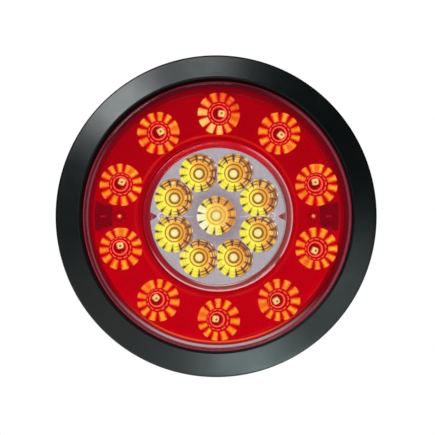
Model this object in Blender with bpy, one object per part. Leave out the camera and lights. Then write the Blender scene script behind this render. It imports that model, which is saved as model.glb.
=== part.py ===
"""A round LED rear lamp for a trailer, held in a rubber grommet that snaps into a hole in a panel.

The lamp faces -Y, with Z up. The origin is on the lamp's axis, in the plane where the grommet's
flange rests on the front of the panel. A lens and its seal close a cup-shaped housing. Inside, a
circuit board carries an outer ring of light-emitting diodes behind a red lens and an inner group
behind a clear one, each diode with its own moulded optic, and a wall keeps the two lights apart.
"""

import math

import bmesh
import bpy
from mathutils import Matrix

MM = 0.001
GAP = 0.3 * MM  # clearance between pieces that touch or nearly touch

# Facets round a turned piece
RING_SIDES = 48
SMALL_RING_SIDES = 36
OPTIC_SIDES = 12
DIODE_SIDES = 12
HOLE_SIDES = 16

# Grommet
FLANGE_RADIUS = 65.0 * MM
FLANGE_EDGE = 2.4 * MM
FLANGE_ROUND = 1.6 * MM
FLANGE_CHAMFER = 0.8 * MM
CREST_RADIUS = 56.6 * MM
CREST_FRONT = -9.0 * MM
CREST_ROUND = 1.4 * MM
CONE_NORMAL = math.radians(-54)
PANEL_GROOVE_RADIUS = 57.6 * MM
PANEL_GROOVE_WIDTH = 3.2 * MM
BARB_RADIUS = 61.2 * MM
BARB_BACK = 5.4 * MM
BARB_TAIL_RADIUS = 57.0 * MM
GROMMET_BACK = 12.6 * MM
BORE_RADIUS = 51.2 * MM
BORE_CHAMFER = 0.6 * MM
LIP_RADIUS = 54.6 * MM
LIP_FRONT = -6.8 * MM
LAMP_GROOVE_RADIUS = 55.9 * MM
LAMP_GROOVE_FRONT = -4.3 * MM
LAMP_GROOVE_BACK = 1.2 * MM

# Housing
HOUSING_FLANGE_RADIUS = 55.5 * MM
HOUSING_FLANGE_FRONT = -3.9 * MM
HOUSING_FLANGE_BACK = 0.8 * MM
SEAL_GROOVE_FLOOR = -2.4 * MM
SEAL_GROOVE_INNER = 51.9 * MM
SEAL_GROOVE_OUTER = 54.3 * MM
HOUSING_RADIUS = 50.8 * MM
HOUSING_BACK = 22.0 * MM
HOUSING_WALL = 1.8 * MM
HOUSING_BACK_WALL = 2.4 * MM
HOUSING_BEVEL = 2.0 * MM
PLATE_SEAT_RADIUS = 50.4 * MM
PLATE_SEAT_DEPTH = -0.2 * MM
BOARD_LEDGE_RADIUS = 46.6 * MM
KEY_INNER = 44.8 * MM
KEY_THICK = 0.8 * MM
KEY_FRONT = -1.0 * MM

# Lens
LENS_RADIUS = 54.2 * MM
LENS_CROWN = 11.5 * MM
LENS_FALL = 0.9 * MM
LENS_THICK = 2.2 * MM
LENS_SHOULDER = 1.7 * MM
LENS_BACK = -4.6 * MM
CENTRE_LENS_RADIUS = 27.0 * MM
JOINT_RING_INNER = 27.3 * MM
JOINT_RING_OUTER = 30.1 * MM
JOINT_RING_FRONT = -11.6 * MM
JOINT_RING_BACK = -8.4 * MM
RED_LENS_INNER = 30.4 * MM
TAB_INNER = 24.6 * MM
TAB_OUTER = 27.7 * MM
TAB_WIDTH = 3.4 * MM
TAB_FRONT = -8.7 * MM
TAB_BACK = -8.0 * MM

# Inner stack
DIVIDER_INNER = 28.4 * MM
DIVIDER_OUTER = 29.8 * MM
PLATE_FRONT = -1.2 * MM
PLATE_BACK = 0.0 * MM
RED_PLATE_INNER = 30.4 * MM
RED_PLATE_OUTER = 48.6 * MM
BOWL_FOOT = 47.8 * MM
BOWL_TOP = 49.2 * MM
BOWL_TOP_DEPTH = -4.4 * MM
BOWL_OUTER = 50.1 * MM
RIM_FRONT = -5.0 * MM
RIM_THICK = 0.8 * MM
RIM_OUTER = 51.6 * MM
POCKET_INNER = 42.9 * MM
POCKET_OUTER = 50.6 * MM
POCKET_WIDTH = 11.2 * MM
CENTRE_PLATE_RADIUS = 27.8 * MM
BOARD_FRONT = 4.0 * MM
BOARD_BACK = 5.6 * MM
BOARD_RADIUS = 48.4 * MM

# Optics and diodes
RED_COUNT = 10
RED_CIRCLE = 41.5 * MM
RED_OPTIC_RADIUS = 8.5 * MM
RED_START = math.radians(90)
CLEAR_COUNT = 8
CLEAR_CIRCLE = 18.6 * MM
CLEAR_OPTIC_RADIUS = 7.7 * MM
CLEAR_START = math.radians(22.5)
CENTRE_OPTIC_RADIUS = 8.0 * MM
OPTIC_FRONT = -7.4 * MM
OPTIC_RIM = 0.5 * MM
OPTIC_SHOULDER = -5.0 * MM
OPTIC_SHOULDER_SHARE = 0.84
OPTIC_BACK = 2.2 * MM
OPTIC_WAIST = -1.6 * MM
OPTIC_WAIST_SHARE = 0.66
OPTIC_NECK_RADIUS = 3.6 * MM
DIODE_POCKET_RADIUS = 2.4 * MM
DIODE_POCKET_ROOF = -1.2 * MM
DIODE_BASE = 3.4 * MM
DIODE_BASE_THICK = 1.0 * MM
DIODE_DOME_RADIUS = 1.25 * MM

# Fasteners and posts
SCREW_CIRCLE = 39.3 * MM
SCREW_HEAD_RADIUS = 2.7 * MM
SCREW_HEAD_THICK = 1.4 * MM
SCREW_SHANK_RADIUS = 1.3 * MM
SCREW_END = 13.0 * MM
SCREW_HOLE_RADIUS = 1.7 * MM
BOSS_RADIUS = 3.4 * MM
BOSS_HOLE_END = 16.0 * MM
POST_CIRCLE = 22.3 * MM
POST_RADIUS = 1.3 * MM
POST_FRONT = -3.0 * MM

# Connector
SOCKET_FLANGE = (36.0 * MM, 20.0 * MM)
SOCKET_FLANGE_THICK = 2.0 * MM
SOCKET_SHROUD = (30.0 * MM, 18.0 * MM)
SOCKET_CAVITY = (26.0 * MM, 14.0 * MM)
SOCKET_BACK = 34.0 * MM
SOCKET_FLOOR = 25.6 * MM
SOCKET_PLUG = (25.2 * MM, 13.2 * MM)
SOCKET_PLUG_FRONT = 16.0 * MM
SOCKET_KEY = (6.0 * MM, 1.4 * MM)
TERMINAL_NAMES = ("earth", "tail", "stop", "indicator")
TERMINAL_PITCH = 6.0 * MM
TERMINAL_SECTION = (2.8 * MM, 0.8 * MM)
TERMINAL_BACK = 31.6 * MM

# Vent
VENT_PLACE = (-30.0 * MM, -20.0 * MM)
VENT_PORT_RADIUS = 1.5 * MM
VENT_CAP_RADIUS = 6.0 * MM
VENT_CAP_THICK = 2.4 * MM
VENT_CAP_HOLLOW = 4.4 * MM
VENT_CAP_ROOF = 1.4 * MM
VENT_MEMBRANE_RADIUS = 3.9 * MM
VENT_MEMBRANE_THICK = 0.4 * MM

# Parts on the back of the circuit board
CAPACITOR_PLACE = (20.0 * MM, -22.0 * MM)
CAPACITOR_RADIUS = 4.0 * MM
CAPACITOR_HEIGHT = 9.0 * MM
DRIVER_SIZE = (10.0 * MM, 2.4 * MM, 9.0 * MM)
DRIVER_PLACES = {"tail_driver": (-20.0 * MM, 22.0 * MM), "indicator_driver": (20.0 * MM, 22.0 * MM)}

SHARP_ANGLE = math.radians(35)
CUT_OVERRUN = 1.0 * MM


def clear_scene():
    """Removes whatever the scene holds."""
    for obj in list(bpy.data.objects):
        bpy.data.objects.remove(obj)


def finish(name, colour, roughness, metallic=0.0, alpha=1.0):
    """A plain Principled material."""
    made = bpy.data.materials.new(name)
    made.use_nodes = True
    shader = made.node_tree.nodes["Principled BSDF"]
    shader.inputs["Base Color"].default_value = (*colour, 1.0)
    shader.inputs["Roughness"].default_value = roughness
    shader.inputs["Metallic"].default_value = metallic
    shader.inputs["Alpha"].default_value = alpha
    return made


def arc(centre, radius, start, end, steps):
    """Points along an arc of an outline, with angles from the outward radius towards the back."""
    angles = [start + (end - start) * i / steps for i in range(steps + 1)]
    return [(centre[0] + radius * math.cos(a), centre[1] + radius * math.sin(a)) for a in angles]


def mesh_from(shape, name):
    """Closes a bmesh into a mesh with outward faces, smooth across gentle angles."""
    bmesh.ops.recalc_face_normals(shape, faces=shape.faces)
    mesh = bpy.data.meshes.new(name)
    shape.to_mesh(mesh)
    shape.free()
    mesh.shade_smooth()
    mesh.set_sharp_from_angle(angle=SHARP_ANGLE)
    return mesh


def place(name, mesh, material, x=0.0, z=0.0):
    """One object of the lamp at a place on its face."""
    obj = bpy.data.objects.new(name, mesh)
    if not mesh.materials:
        mesh.materials.append(material)
    obj.location = (x, 0.0, z)
    bpy.context.scene.collection.objects.link(obj)
    return obj


def turned_mesh(name, outline, sides):
    """A solid turned about the Y axis from its closed outline of (radius, depth) points."""
    shape = bmesh.new()
    points = [shape.verts.new((radius, depth, 0.0)) for radius, depth in outline]
    pairs = zip(points, points[1:] + points[:1])
    edges = [shape.edges.new(pair) for pair in pairs if pair[0].co.x + pair[1].co.x > 0.0]
    bmesh.ops.spin(
        shape,
        geom=points + edges,
        cent=(0.0, 0.0, 0.0),
        axis=(0.0, 1.0, 0.0),
        angle=math.tau,
        steps=sides,
        use_merge=True,
    )
    bmesh.ops.remove_doubles(shape, verts=shape.verts, dist=0.001 * MM)
    return mesh_from(shape, name)


def turned(name, outline, sides, material, x=0.0, z=0.0):
    """An object of its own, turned about a line along Y through (x, z)."""
    return place(name, turned_mesh(name, outline, sides), material, x, z)


def block_mesh(name, width, front, back, height, x=0.0, z=0.0):
    """A rectangular block from one depth to another, centred on (x, z)."""
    shape = bmesh.new()
    bmesh.ops.create_cube(shape, size=1.0)
    bmesh.ops.scale(shape, vec=(width, back - front, height), verts=shape.verts)
    bmesh.ops.translate(shape, vec=(x, (front + back) / 2, z), verts=shape.verts)
    return mesh_from(shape, name)


def rod_mesh(name, radius, front, back, sides=HOLE_SIDES, x=0.0, z=0.0):
    """A plain rod along Y from one depth to another, turned half a facet so that no corner lies level."""
    shape = bmesh.new()
    bmesh.ops.create_cone(
        shape, cap_ends=True, segments=sides, radius1=radius, radius2=radius, depth=back - front
    )
    turn = Matrix.Rotation(math.pi / sides, 4, "Y") @ Matrix.Rotation(math.pi / 2, 4, "X")
    shift = Matrix.Translation((x, (front + back) / 2, z))
    bmesh.ops.transform(shape, matrix=shift @ turn, verts=shape.verts)
    return mesh_from(shape, name)


def helper(name, mesh):
    """A hidden solid that a Boolean reads."""
    obj = bpy.data.objects.new(name, mesh)
    bpy.context.scene.collection.objects.link(obj)
    obj.hide_render = True
    obj.display_type = "WIRE"
    return obj


def combine(obj, operation, name, meshes):
    """Joins meshes to an object, or cuts them from it, one exact Boolean each."""
    for count, mesh in enumerate(meshes):
        modifier = obj.modifiers.new(f"{name}_{count}", "BOOLEAN")
        modifier.operation = operation
        modifier.solver = "EXACT"
        modifier.object = helper(f"{obj.name}_{name}_{count}", mesh)


def drill(obj, name, places, radius, front, back):
    """Cuts round holes along Y at each place."""
    combine(obj, "DIFFERENCE", name, [rod_mesh(name, radius, front, back, x=x, z=z) for x, z in places])


def on_circle(radius, count, start):
    """Evenly spaced places on a circle on the lamp's face."""
    angles = [start + math.tau * i / count for i in range(count)]
    return [(radius * math.cos(a), radius * math.sin(a)) for a in angles]


def lens_front(radius):
    """Depth of the lens's slightly domed face."""
    return -(LENS_CROWN - LENS_FALL * (radius / LENS_RADIUS) ** 2)


def lens_inside(radius):
    """Depth of the lens's inner face."""
    return lens_front(radius) + LENS_THICK


def opposite(radius):
    """The places at three o'clock and nine o'clock."""
    return [(radius, 0.0), (-radius, 0.0)]


def blocks_opposite(name, inner, outer, front, back, height):
    """Two blocks at three o'clock and nine o'clock, from one radius to another."""
    middle = (inner + outer) / 2
    return [block_mesh(name, outer - inner, front, back, height, x=x) for x, _ in opposite(middle)]


def grommet(rubber):
    """Conical flange, panel groove, rear barb, bore, and the inner groove that grips the lamp."""
    crest_centre = (CREST_RADIUS, CREST_FRONT + CREST_ROUND)
    edge_centre = (FLANGE_RADIUS - FLANGE_ROUND, -FLANGE_EDGE)
    outline = [(LIP_RADIUS, LIP_FRONT)]
    outline += arc(crest_centre, CREST_ROUND, -math.pi, CONE_NORMAL, 3)
    outline += arc(edge_centre, FLANGE_ROUND, CONE_NORMAL, 0.0, 2)
    outline += [
        (FLANGE_RADIUS, -FLANGE_CHAMFER),
        (FLANGE_RADIUS - FLANGE_CHAMFER, 0.0),
        (PANEL_GROOVE_RADIUS, 0.0),
        (PANEL_GROOVE_RADIUS, PANEL_GROOVE_WIDTH),
        (BARB_RADIUS, PANEL_GROOVE_WIDTH),
        (BARB_RADIUS, BARB_BACK),
        (BARB_TAIL_RADIUS, GROMMET_BACK - BORE_CHAMFER),
        (BARB_TAIL_RADIUS - BORE_CHAMFER, GROMMET_BACK),
        (BORE_RADIUS + BORE_CHAMFER, GROMMET_BACK),
        (BORE_RADIUS, GROMMET_BACK - BORE_CHAMFER),
        (BORE_RADIUS, LAMP_GROOVE_BACK),
        (LAMP_GROOVE_RADIUS, LAMP_GROOVE_BACK),
        (LAMP_GROOVE_RADIUS, LAMP_GROOVE_FRONT),
        (LIP_RADIUS, LAMP_GROOVE_FRONT),
    ]
    turned("grommet", outline, RING_SIDES, rubber)


def housing(plastic):
    """A cup with a sealing flange, a seat for the red plate, a board ledge, screw bosses, two keys, a
    connector port and a vent port."""
    inner = HOUSING_RADIUS - HOUSING_WALL
    ledge = BOARD_BACK + GAP
    floor = HOUSING_BACK - HOUSING_BACK_WALL
    outline = [
        (SEAL_GROOVE_OUTER, HOUSING_FLANGE_FRONT),
        (HOUSING_FLANGE_RADIUS, HOUSING_FLANGE_FRONT),
        (HOUSING_FLANGE_RADIUS, HOUSING_FLANGE_BACK),
        (HOUSING_RADIUS, HOUSING_FLANGE_BACK),
        (HOUSING_RADIUS, HOUSING_BACK - HOUSING_BEVEL),
        (HOUSING_RADIUS - HOUSING_BEVEL, HOUSING_BACK),
        (0.0, HOUSING_BACK),
        (0.0, floor),
        (BOARD_LEDGE_RADIUS, floor),
        (BOARD_LEDGE_RADIUS, ledge),
        (inner, ledge),
        (inner, PLATE_SEAT_DEPTH),
        (PLATE_SEAT_RADIUS, PLATE_SEAT_DEPTH),
        (PLATE_SEAT_RADIUS, HOUSING_FLANGE_FRONT),
        (SEAL_GROOVE_INNER, HOUSING_FLANGE_FRONT),
        (SEAL_GROOVE_INNER, SEAL_GROOVE_FLOOR),
        (SEAL_GROOVE_OUTER, SEAL_GROOVE_FLOOR),
    ]
    cup = turned("housing", outline, RING_SIDES, plastic)
    boss_end = (floor + HOUSING_BACK) / 2
    bosses = [rod_mesh("boss", BOSS_RADIUS, ledge, boss_end, x=x, z=z) for x, z in opposite(SCREW_CIRCLE)]
    combine(cup, "UNION", "boss", bosses)
    key_outer = inner + HOUSING_WALL / 2
    keys = blocks_opposite("key", KEY_INNER, key_outer, KEY_FRONT, ledge + CUT_OVERRUN, KEY_THICK)
    combine(cup, "UNION", "key", keys)
    drill(cup, "boss_hole", opposite(SCREW_CIRCLE), SCREW_HOLE_RADIUS, ledge - CUT_OVERRUN, BOSS_HOLE_END)
    port = block_mesh(
        "port",
        SOCKET_PLUG[0] + 2 * GAP,
        floor - CUT_OVERRUN,
        HOUSING_BACK + CUT_OVERRUN,
        SOCKET_PLUG[1] + 2 * GAP,
    )
    combine(cup, "DIFFERENCE", "port", [port])
    drill(cup, "vent_port", [VENT_PLACE], VENT_PORT_RADIUS, floor - CUT_OVERRUN, HOUSING_BACK + CUT_OVERRUN)


def outer_lens(red):
    """The red ring of the lens, with a rounded shoulder and a skirt that stands on the seal."""
    flat_end = LENS_RADIUS - LENS_SHOULDER
    shoulder_centre = (flat_end, lens_front(flat_end) + LENS_SHOULDER)
    skirt_inner = LENS_RADIUS - LENS_THICK
    middle = (RED_LENS_INNER + flat_end) / 2
    outline = [(RED_LENS_INNER, lens_front(RED_LENS_INNER)), (middle, lens_front(middle))]
    outline += arc(shoulder_centre, LENS_SHOULDER, -math.pi / 2, 0.0, 3)
    outline += [
        (LENS_RADIUS, LENS_BACK),
        (skirt_inner, LENS_BACK),
        (skirt_inner, lens_inside(skirt_inner)),
        (middle, lens_inside(middle)),
        (RED_LENS_INNER, lens_inside(RED_LENS_INNER)),
    ]
    turned("outer_lens", outline, RING_SIDES, red)


def centre_lens(clear):
    """The clear disc over the inner group."""
    middle = CENTRE_LENS_RADIUS * 0.6
    outline = [
        (0.0, lens_front(0.0)),
        (middle, lens_front(middle)),
        (CENTRE_LENS_RADIUS, lens_front(CENTRE_LENS_RADIUS)),
        (CENTRE_LENS_RADIUS, lens_inside(CENTRE_LENS_RADIUS)),
        (middle, lens_inside(middle)),
        (0.0, lens_inside(0.0)),
    ]
    turned("centre_lens", outline, SMALL_RING_SIDES, clear)


def lens_joint_ring(tinted):
    """The ring that joins the two lenses, with a chamfered front and two tabs behind the clear one."""
    chamfer = 0.5 * MM
    outline = [
        (JOINT_RING_INNER, JOINT_RING_FRONT + chamfer),
        (JOINT_RING_INNER + chamfer, JOINT_RING_FRONT),
        (JOINT_RING_OUTER - chamfer, JOINT_RING_FRONT),
        (JOINT_RING_OUTER, JOINT_RING_FRONT + chamfer),
        (JOINT_RING_OUTER, JOINT_RING_BACK),
        (JOINT_RING_INNER, JOINT_RING_BACK),
    ]
    ring = turned("lens_joint_ring", outline, RING_SIDES, tinted)
    tabs = blocks_opposite("tab", TAB_INNER, TAB_OUTER, TAB_FRONT, TAB_BACK, TAB_WIDTH)
    combine(ring, "UNION", "tab", tabs)


def light_divider(grey):
    """The wall between the red light and the clear one, from the joint ring to the board."""
    front = JOINT_RING_BACK + GAP
    back = BOARD_FRONT - GAP
    outline = [(DIVIDER_INNER, front), (DIVIDER_OUTER, front), (DIVIDER_OUTER, back), (DIVIDER_INNER, back)]
    turned("light_divider", outline, RING_SIDES, grey)


def lens_seal(rubber):
    """The gasket between the lens's skirt and the housing."""
    inner = SEAL_GROOVE_INNER + GAP
    outer = SEAL_GROOVE_OUTER - GAP
    front = LENS_BACK + GAP
    back = SEAL_GROOVE_FLOOR - GAP
    turned("lens_seal", [(inner, front), (outer, front), (outer, back), (inner, back)], RING_SIDES, rubber)


def optic_hole(radius):
    """Radius of the hole that an optic's waist passes through."""
    return radius * OPTIC_WAIST_SHARE + 0.5 * MM


def red_zone_plate(red):
    """The plate round the outer optics: a shallow bowl whose rim lies on the housing, on two drilled
    spacers, with a pocket beyond each."""
    seat = PLATE_SEAT_DEPTH - GAP
    outline = [
        (RED_PLATE_INNER, PLATE_FRONT),
        (BOWL_FOOT, PLATE_FRONT),
        (BOWL_TOP, BOWL_TOP_DEPTH),
        (BOWL_OUTER - GAP, RIM_FRONT),
        (RIM_OUTER, RIM_FRONT),
        (RIM_OUTER, RIM_FRONT + RIM_THICK),
        (BOWL_OUTER, RIM_FRONT + RIM_THICK),
        (BOWL_OUTER, seat),
        (RED_PLATE_OUTER, seat),
        (RED_PLATE_OUTER, PLATE_BACK),
        (RED_PLATE_INNER, PLATE_BACK),
    ]
    plate = turned("red_zone_plate", outline, RING_SIDES, red)
    middle = (PLATE_FRONT + PLATE_BACK) / 2
    back = BOARD_FRONT - GAP
    spacers = [rod_mesh("spacer", BOSS_RADIUS, middle, back, x=x, z=z) for x, z in opposite(SCREW_CIRCLE)]
    combine(plate, "UNION", "spacer", spacers)
    front = PLATE_FRONT - CUT_OVERRUN
    drill(plate, "screw_hole", opposite(SCREW_CIRCLE), SCREW_HOLE_RADIUS, front, BOARD_FRONT)
    places = on_circle(RED_CIRCLE, RED_COUNT, RED_START)
    drill(plate, "optic_hole", places, optic_hole(RED_OPTIC_RADIUS), front, PLATE_BACK + CUT_OVERRUN)
    pockets = blocks_opposite(
        "pocket", POCKET_INNER, POCKET_OUTER, front, PLATE_BACK + CUT_OVERRUN, POCKET_WIDTH
    )
    combine(plate, "DIFFERENCE", "pocket", pockets)


def centre_zone_plate(grey):
    """The round plate among the inner optics, standing on two moulded posts."""
    hole = optic_hole(CENTRE_OPTIC_RADIUS)
    outline = [
        (hole, PLATE_FRONT),
        (CENTRE_PLATE_RADIUS, PLATE_FRONT),
        (CENTRE_PLATE_RADIUS, PLATE_BACK),
        (hole, PLATE_BACK),
    ]
    plate = turned("centre_zone_plate", outline, SMALL_RING_SIDES, grey)
    end = BOARD_FRONT - GAP
    posts = [rod_mesh("post", POST_RADIUS, POST_FRONT, end, x=x, z=z) for x, z in opposite(POST_CIRCLE)]
    combine(plate, "UNION", "post", posts)
    front = PLATE_FRONT - CUT_OVERRUN
    back = PLATE_BACK + CUT_OVERRUN
    places = on_circle(CLEAR_CIRCLE, CLEAR_COUNT, CLEAR_START)
    drill(plate, "optic_hole", places, optic_hole(CLEAR_OPTIC_RADIUS), front, back)


def optic_mesh(name, radius):
    """A collimating optic: a broad front, a curved taper to its neck and a pocket over the diode."""
    outline = [
        (0.0, OPTIC_FRONT),
        (radius, OPTIC_FRONT),
        (radius, OPTIC_FRONT + OPTIC_RIM),
        (radius * OPTIC_SHOULDER_SHARE, OPTIC_SHOULDER),
        (radius * OPTIC_WAIST_SHARE, OPTIC_WAIST),
        (OPTIC_NECK_RADIUS, OPTIC_BACK),
        (DIODE_POCKET_RADIUS, OPTIC_BACK),
        (0.0, DIODE_POCKET_ROOF),
    ]
    return turned_mesh(name, outline, OPTIC_SIDES)


def trimmed(mesh, place, neighbours):
    """Flattens an optic's rim half way to each neighbour, less half a gap, where the two would meet."""
    for other in neighbours:
        x, z = other[0] - place[0], other[1] - place[1]
        apart = math.hypot(x, z)
        x, z = x / apart, z / apart
        reach = (apart - GAP) / 2
        for vertex in mesh.vertices:
            past = vertex.co.x * x + vertex.co.z * z - reach
            if past > 0.0:
                vertex.co.x -= past * x
                vertex.co.z -= past * z
    return mesh


def diode_mesh():
    """A square base with a round dome, as rings of points whose outline turns from square to round."""
    front = BOARD_FRONT - GAP - DIODE_BASE_THICK
    half = DIODE_BASE / 2
    lift = DIODE_DOME_RADIUS * math.sin(math.radians(50))
    shrunk = DIODE_DOME_RADIUS * math.cos(math.radians(50))
    levels = [(half, front + DIODE_BASE_THICK, True), (half, front, True)]
    levels += [(DIODE_DOME_RADIUS, front, False), (shrunk, front - lift, False)]
    angles = [math.tau * (i + 0.5) / DIODE_SIDES for i in range(DIODE_SIDES)]
    shape = bmesh.new()
    rings = []
    for radius, depth, square in levels:
        ring = []
        for angle in angles:
            reach = radius / max(abs(math.cos(angle)), abs(math.sin(angle))) if square else radius
            ring.append(shape.verts.new((reach * math.cos(angle), depth, reach * math.sin(angle))))
        rings.append(ring)
    for lower, upper in zip(rings, rings[1:]):
        for i in range(DIODE_SIDES):
            j = (i + 1) % DIODE_SIDES
            shape.faces.new((lower[i], lower[j], upper[j], upper[i]))
    apex = shape.verts.new((0.0, front - DIODE_DOME_RADIUS, 0.0))
    shape.faces.new(rings[0])
    for i in range(DIODE_SIDES):
        shape.faces.new((rings[-1][i], rings[-1][(i + 1) % DIODE_SIDES], apex))
    return mesh_from(shape, "diode")


def lights(red_optic, clear_optic, diode):
    """Every optic with the diode behind it, numbered round each ring. Optics that would touch the next
    ones in their ring are trimmed flat there."""
    diodes = diode_mesh()
    groups = [
        ("red", RED_OPTIC_RADIUS, red_optic, on_circle(RED_CIRCLE, RED_COUNT, RED_START)),
        ("clear", CLEAR_OPTIC_RADIUS, clear_optic, on_circle(CLEAR_CIRCLE, CLEAR_COUNT, CLEAR_START)),
        ("centre", CENTRE_OPTIC_RADIUS, clear_optic, [(0.0, 0.0)]),
    ]
    for zone, radius, material, places in groups:
        for number, (x, z) in enumerate(places, 1):
            tag = f"_{number:02d}" if len(places) > 1 else ""
            beside = [places[number - 2], places[number % len(places)]] if len(places) > 1 else []
            mesh = trimmed(optic_mesh(f"{zone}_optic", radius), (x, z), beside)
            place(f"{zone}_optic{tag}", mesh, material, x, z)
            place(f"{zone}_diode{tag}", diodes, diode, x, z)


def circuit_board(laminate):
    """The round board, drilled for the two screws and notched for the housing's two keys."""
    disc = rod_mesh("circuit_board", BOARD_RADIUS, BOARD_FRONT, BOARD_BACK, RING_SIDES)
    board = place("circuit_board", disc, laminate)
    front = BOARD_FRONT - CUT_OVERRUN
    back = BOARD_BACK + CUT_OVERRUN
    drill(board, "screw_hole", opposite(SCREW_CIRCLE), SCREW_HOLE_RADIUS, front, back)
    inner = KEY_INNER - GAP
    notches = blocks_opposite("notch", inner, BOARD_RADIUS + CUT_OVERRUN, front, back, KEY_THICK + 2 * GAP)
    combine(board, "DIFFERENCE", "notch", notches)


def plate_screws(steel):
    """The two screws that hold the red plate and the board to the housing's bosses."""
    seat = PLATE_FRONT - GAP
    crown = 0.3 * MM
    outline = [
        (0.0, seat - SCREW_HEAD_THICK),
        (SCREW_HEAD_RADIUS - crown, seat - SCREW_HEAD_THICK),
        (SCREW_HEAD_RADIUS, seat - SCREW_HEAD_THICK + crown),
        (SCREW_HEAD_RADIUS, seat),
        (SCREW_SHANK_RADIUS, seat),
        (SCREW_SHANK_RADIUS, SCREW_END - SCREW_SHANK_RADIUS),
        (0.0, SCREW_END),
    ]
    mesh = turned_mesh("plate_screw", outline, OPTIC_SIDES)
    for side, (x, z) in zip(("right", "left"), opposite(SCREW_CIRCLE)):
        place(f"plate_screw_{side}", mesh, steel, x, z)


def terminal_places():
    """Where the blades stand across the connector."""
    middle = (len(TERMINAL_NAMES) - 1) / 2
    return [(i - middle) * TERMINAL_PITCH for i in range(len(TERMINAL_NAMES))]


def connector_socket(plastic):
    """A plug through the housing, an outer flange and a keyed shroud, slotted for the blades."""
    front = HOUSING_BACK + GAP
    flange_back = front + SOCKET_FLANGE_THICK
    inside = flange_back - SOCKET_FLANGE_THICK / 2
    socket = place(
        "connector_socket",
        block_mesh("connector_socket", SOCKET_FLANGE[0], front, flange_back, SOCKET_FLANGE[1]),
        plastic,
    )
    plug = block_mesh("plug", SOCKET_PLUG[0], SOCKET_PLUG_FRONT, inside, SOCKET_PLUG[1])
    shroud = block_mesh("shroud", SOCKET_SHROUD[0], inside, SOCKET_BACK, SOCKET_SHROUD[1])
    key_z = SOCKET_SHROUD[1] / 2
    key = block_mesh("key", SOCKET_KEY[0], inside, SOCKET_BACK - SOCKET_KEY[1], SOCKET_KEY[1], z=key_z)
    combine(socket, "UNION", "body", [plug, shroud, key])
    cavity = block_mesh(
        "cavity", SOCKET_CAVITY[0], SOCKET_FLOOR, SOCKET_BACK + CUT_OVERRUN, SOCKET_CAVITY[1]
    )
    slots = [
        block_mesh(
            "slot",
            TERMINAL_SECTION[0] + 2 * GAP,
            SOCKET_PLUG_FRONT - CUT_OVERRUN,
            SOCKET_FLOOR + CUT_OVERRUN,
            TERMINAL_SECTION[1] + 2 * GAP,
            x=x,
        )
        for x in terminal_places()
    ]
    combine(socket, "DIFFERENCE", "hollow", [cavity] + slots)


def terminals(brass):
    """The blades that run from the board through the socket to the plug."""
    front = BOARD_BACK + GAP
    for name, x in zip(TERMINAL_NAMES, terminal_places()):
        width, thick = TERMINAL_SECTION
        mesh = block_mesh(f"terminal_{name}", width, front, TERMINAL_BACK, thick)
        place(f"terminal_{name}", mesh, brass, x)


def vent(plastic, membrane):
    """A breathing membrane over the vent port, under a cap that keeps spray off it."""
    back = HOUSING_BACK + GAP
    chamfer = 0.5 * MM
    outline = [
        (VENT_CAP_RADIUS, back),
        (VENT_CAP_RADIUS, back + VENT_CAP_THICK - chamfer),
        (VENT_CAP_RADIUS - chamfer, back + VENT_CAP_THICK),
        (0.0, back + VENT_CAP_THICK),
        (0.0, back + VENT_CAP_ROOF),
        (VENT_CAP_HOLLOW, back + VENT_CAP_ROOF),
        (VENT_CAP_HOLLOW, back),
    ]
    turned("vent_cap", outline, HOLE_SIDES, plastic, *VENT_PLACE)
    disc = rod_mesh("vent_membrane", VENT_MEMBRANE_RADIUS, back, back + VENT_MEMBRANE_THICK)
    place("vent_membrane", disc, membrane, *VENT_PLACE)


def board_parts(aluminium, epoxy):
    """The capacitor and the two driver packages behind the board."""
    front = BOARD_BACK + GAP
    can = rod_mesh("smoothing_capacitor", CAPACITOR_RADIUS, front, front + CAPACITOR_HEIGHT)
    place("smoothing_capacitor", can, aluminium, *CAPACITOR_PLACE)
    width, depth, height = DRIVER_SIZE
    for name, (x, z) in DRIVER_PLACES.items():
        place(name, block_mesh(name, width, front, front + depth, height), epoxy, x, z)


def main():
    clear_scene()
    black_rubber = finish("black_rubber", (0.02, 0.025, 0.024), 0.45)
    black_plastic = finish("black_plastic", (0.025, 0.025, 0.027), 0.4)
    red_acrylic = finish("red_acrylic", (0.62, 0.005, 0.02), 0.08, alpha=0.5)
    clear_acrylic = finish("clear_acrylic", (0.92, 0.91, 0.93), 0.06, alpha=0.25)
    pink_acrylic = finish("pink_acrylic", (0.62, 0.18, 0.22), 0.1, alpha=0.7)
    red_plate = finish("red_plate", (0.55, 0.005, 0.02), 0.3)
    lilac_plate = finish("lilac_plate", (0.5, 0.47, 0.52), 0.3)
    orange_optic = finish("orange_optic", (1.0, 0.28, 0.04), 0.12)
    gold_optic = finish("gold_optic", (0.9, 0.6, 0.1), 0.12)
    diode_resin = finish("diode_resin", (0.98, 0.86, 0.6), 0.15)
    green_laminate = finish("green_laminate", (0.05, 0.22, 0.1), 0.35)
    screw_steel = finish("screw_steel", (0.6, 0.6, 0.6), 0.3, metallic=1.0)
    tinned_brass = finish("tinned_brass", (0.75, 0.66, 0.42), 0.25, metallic=1.0)
    can_aluminium = finish("can_aluminium", (0.7, 0.7, 0.72), 0.3, metallic=1.0)
    black_epoxy = finish("black_epoxy", (0.03, 0.03, 0.03), 0.5)
    white_membrane = finish("white_membrane", (0.85, 0.85, 0.83), 0.7)
    grommet(black_rubber)
    housing(black_plastic)
    lens_seal(black_rubber)
    outer_lens(red_acrylic)
    centre_lens(clear_acrylic)
    lens_joint_ring(pink_acrylic)
    light_divider(lilac_plate)
    red_zone_plate(red_plate)
    centre_zone_plate(lilac_plate)
    circuit_board(green_laminate)
    lights(orange_optic, gold_optic, diode_resin)
    plate_screws(screw_steel)
    connector_socket(black_plastic)
    terminals(tinned_brass)
    vent(black_plastic, white_membrane)
    board_parts(can_aluminium, black_epoxy)


main()
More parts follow.
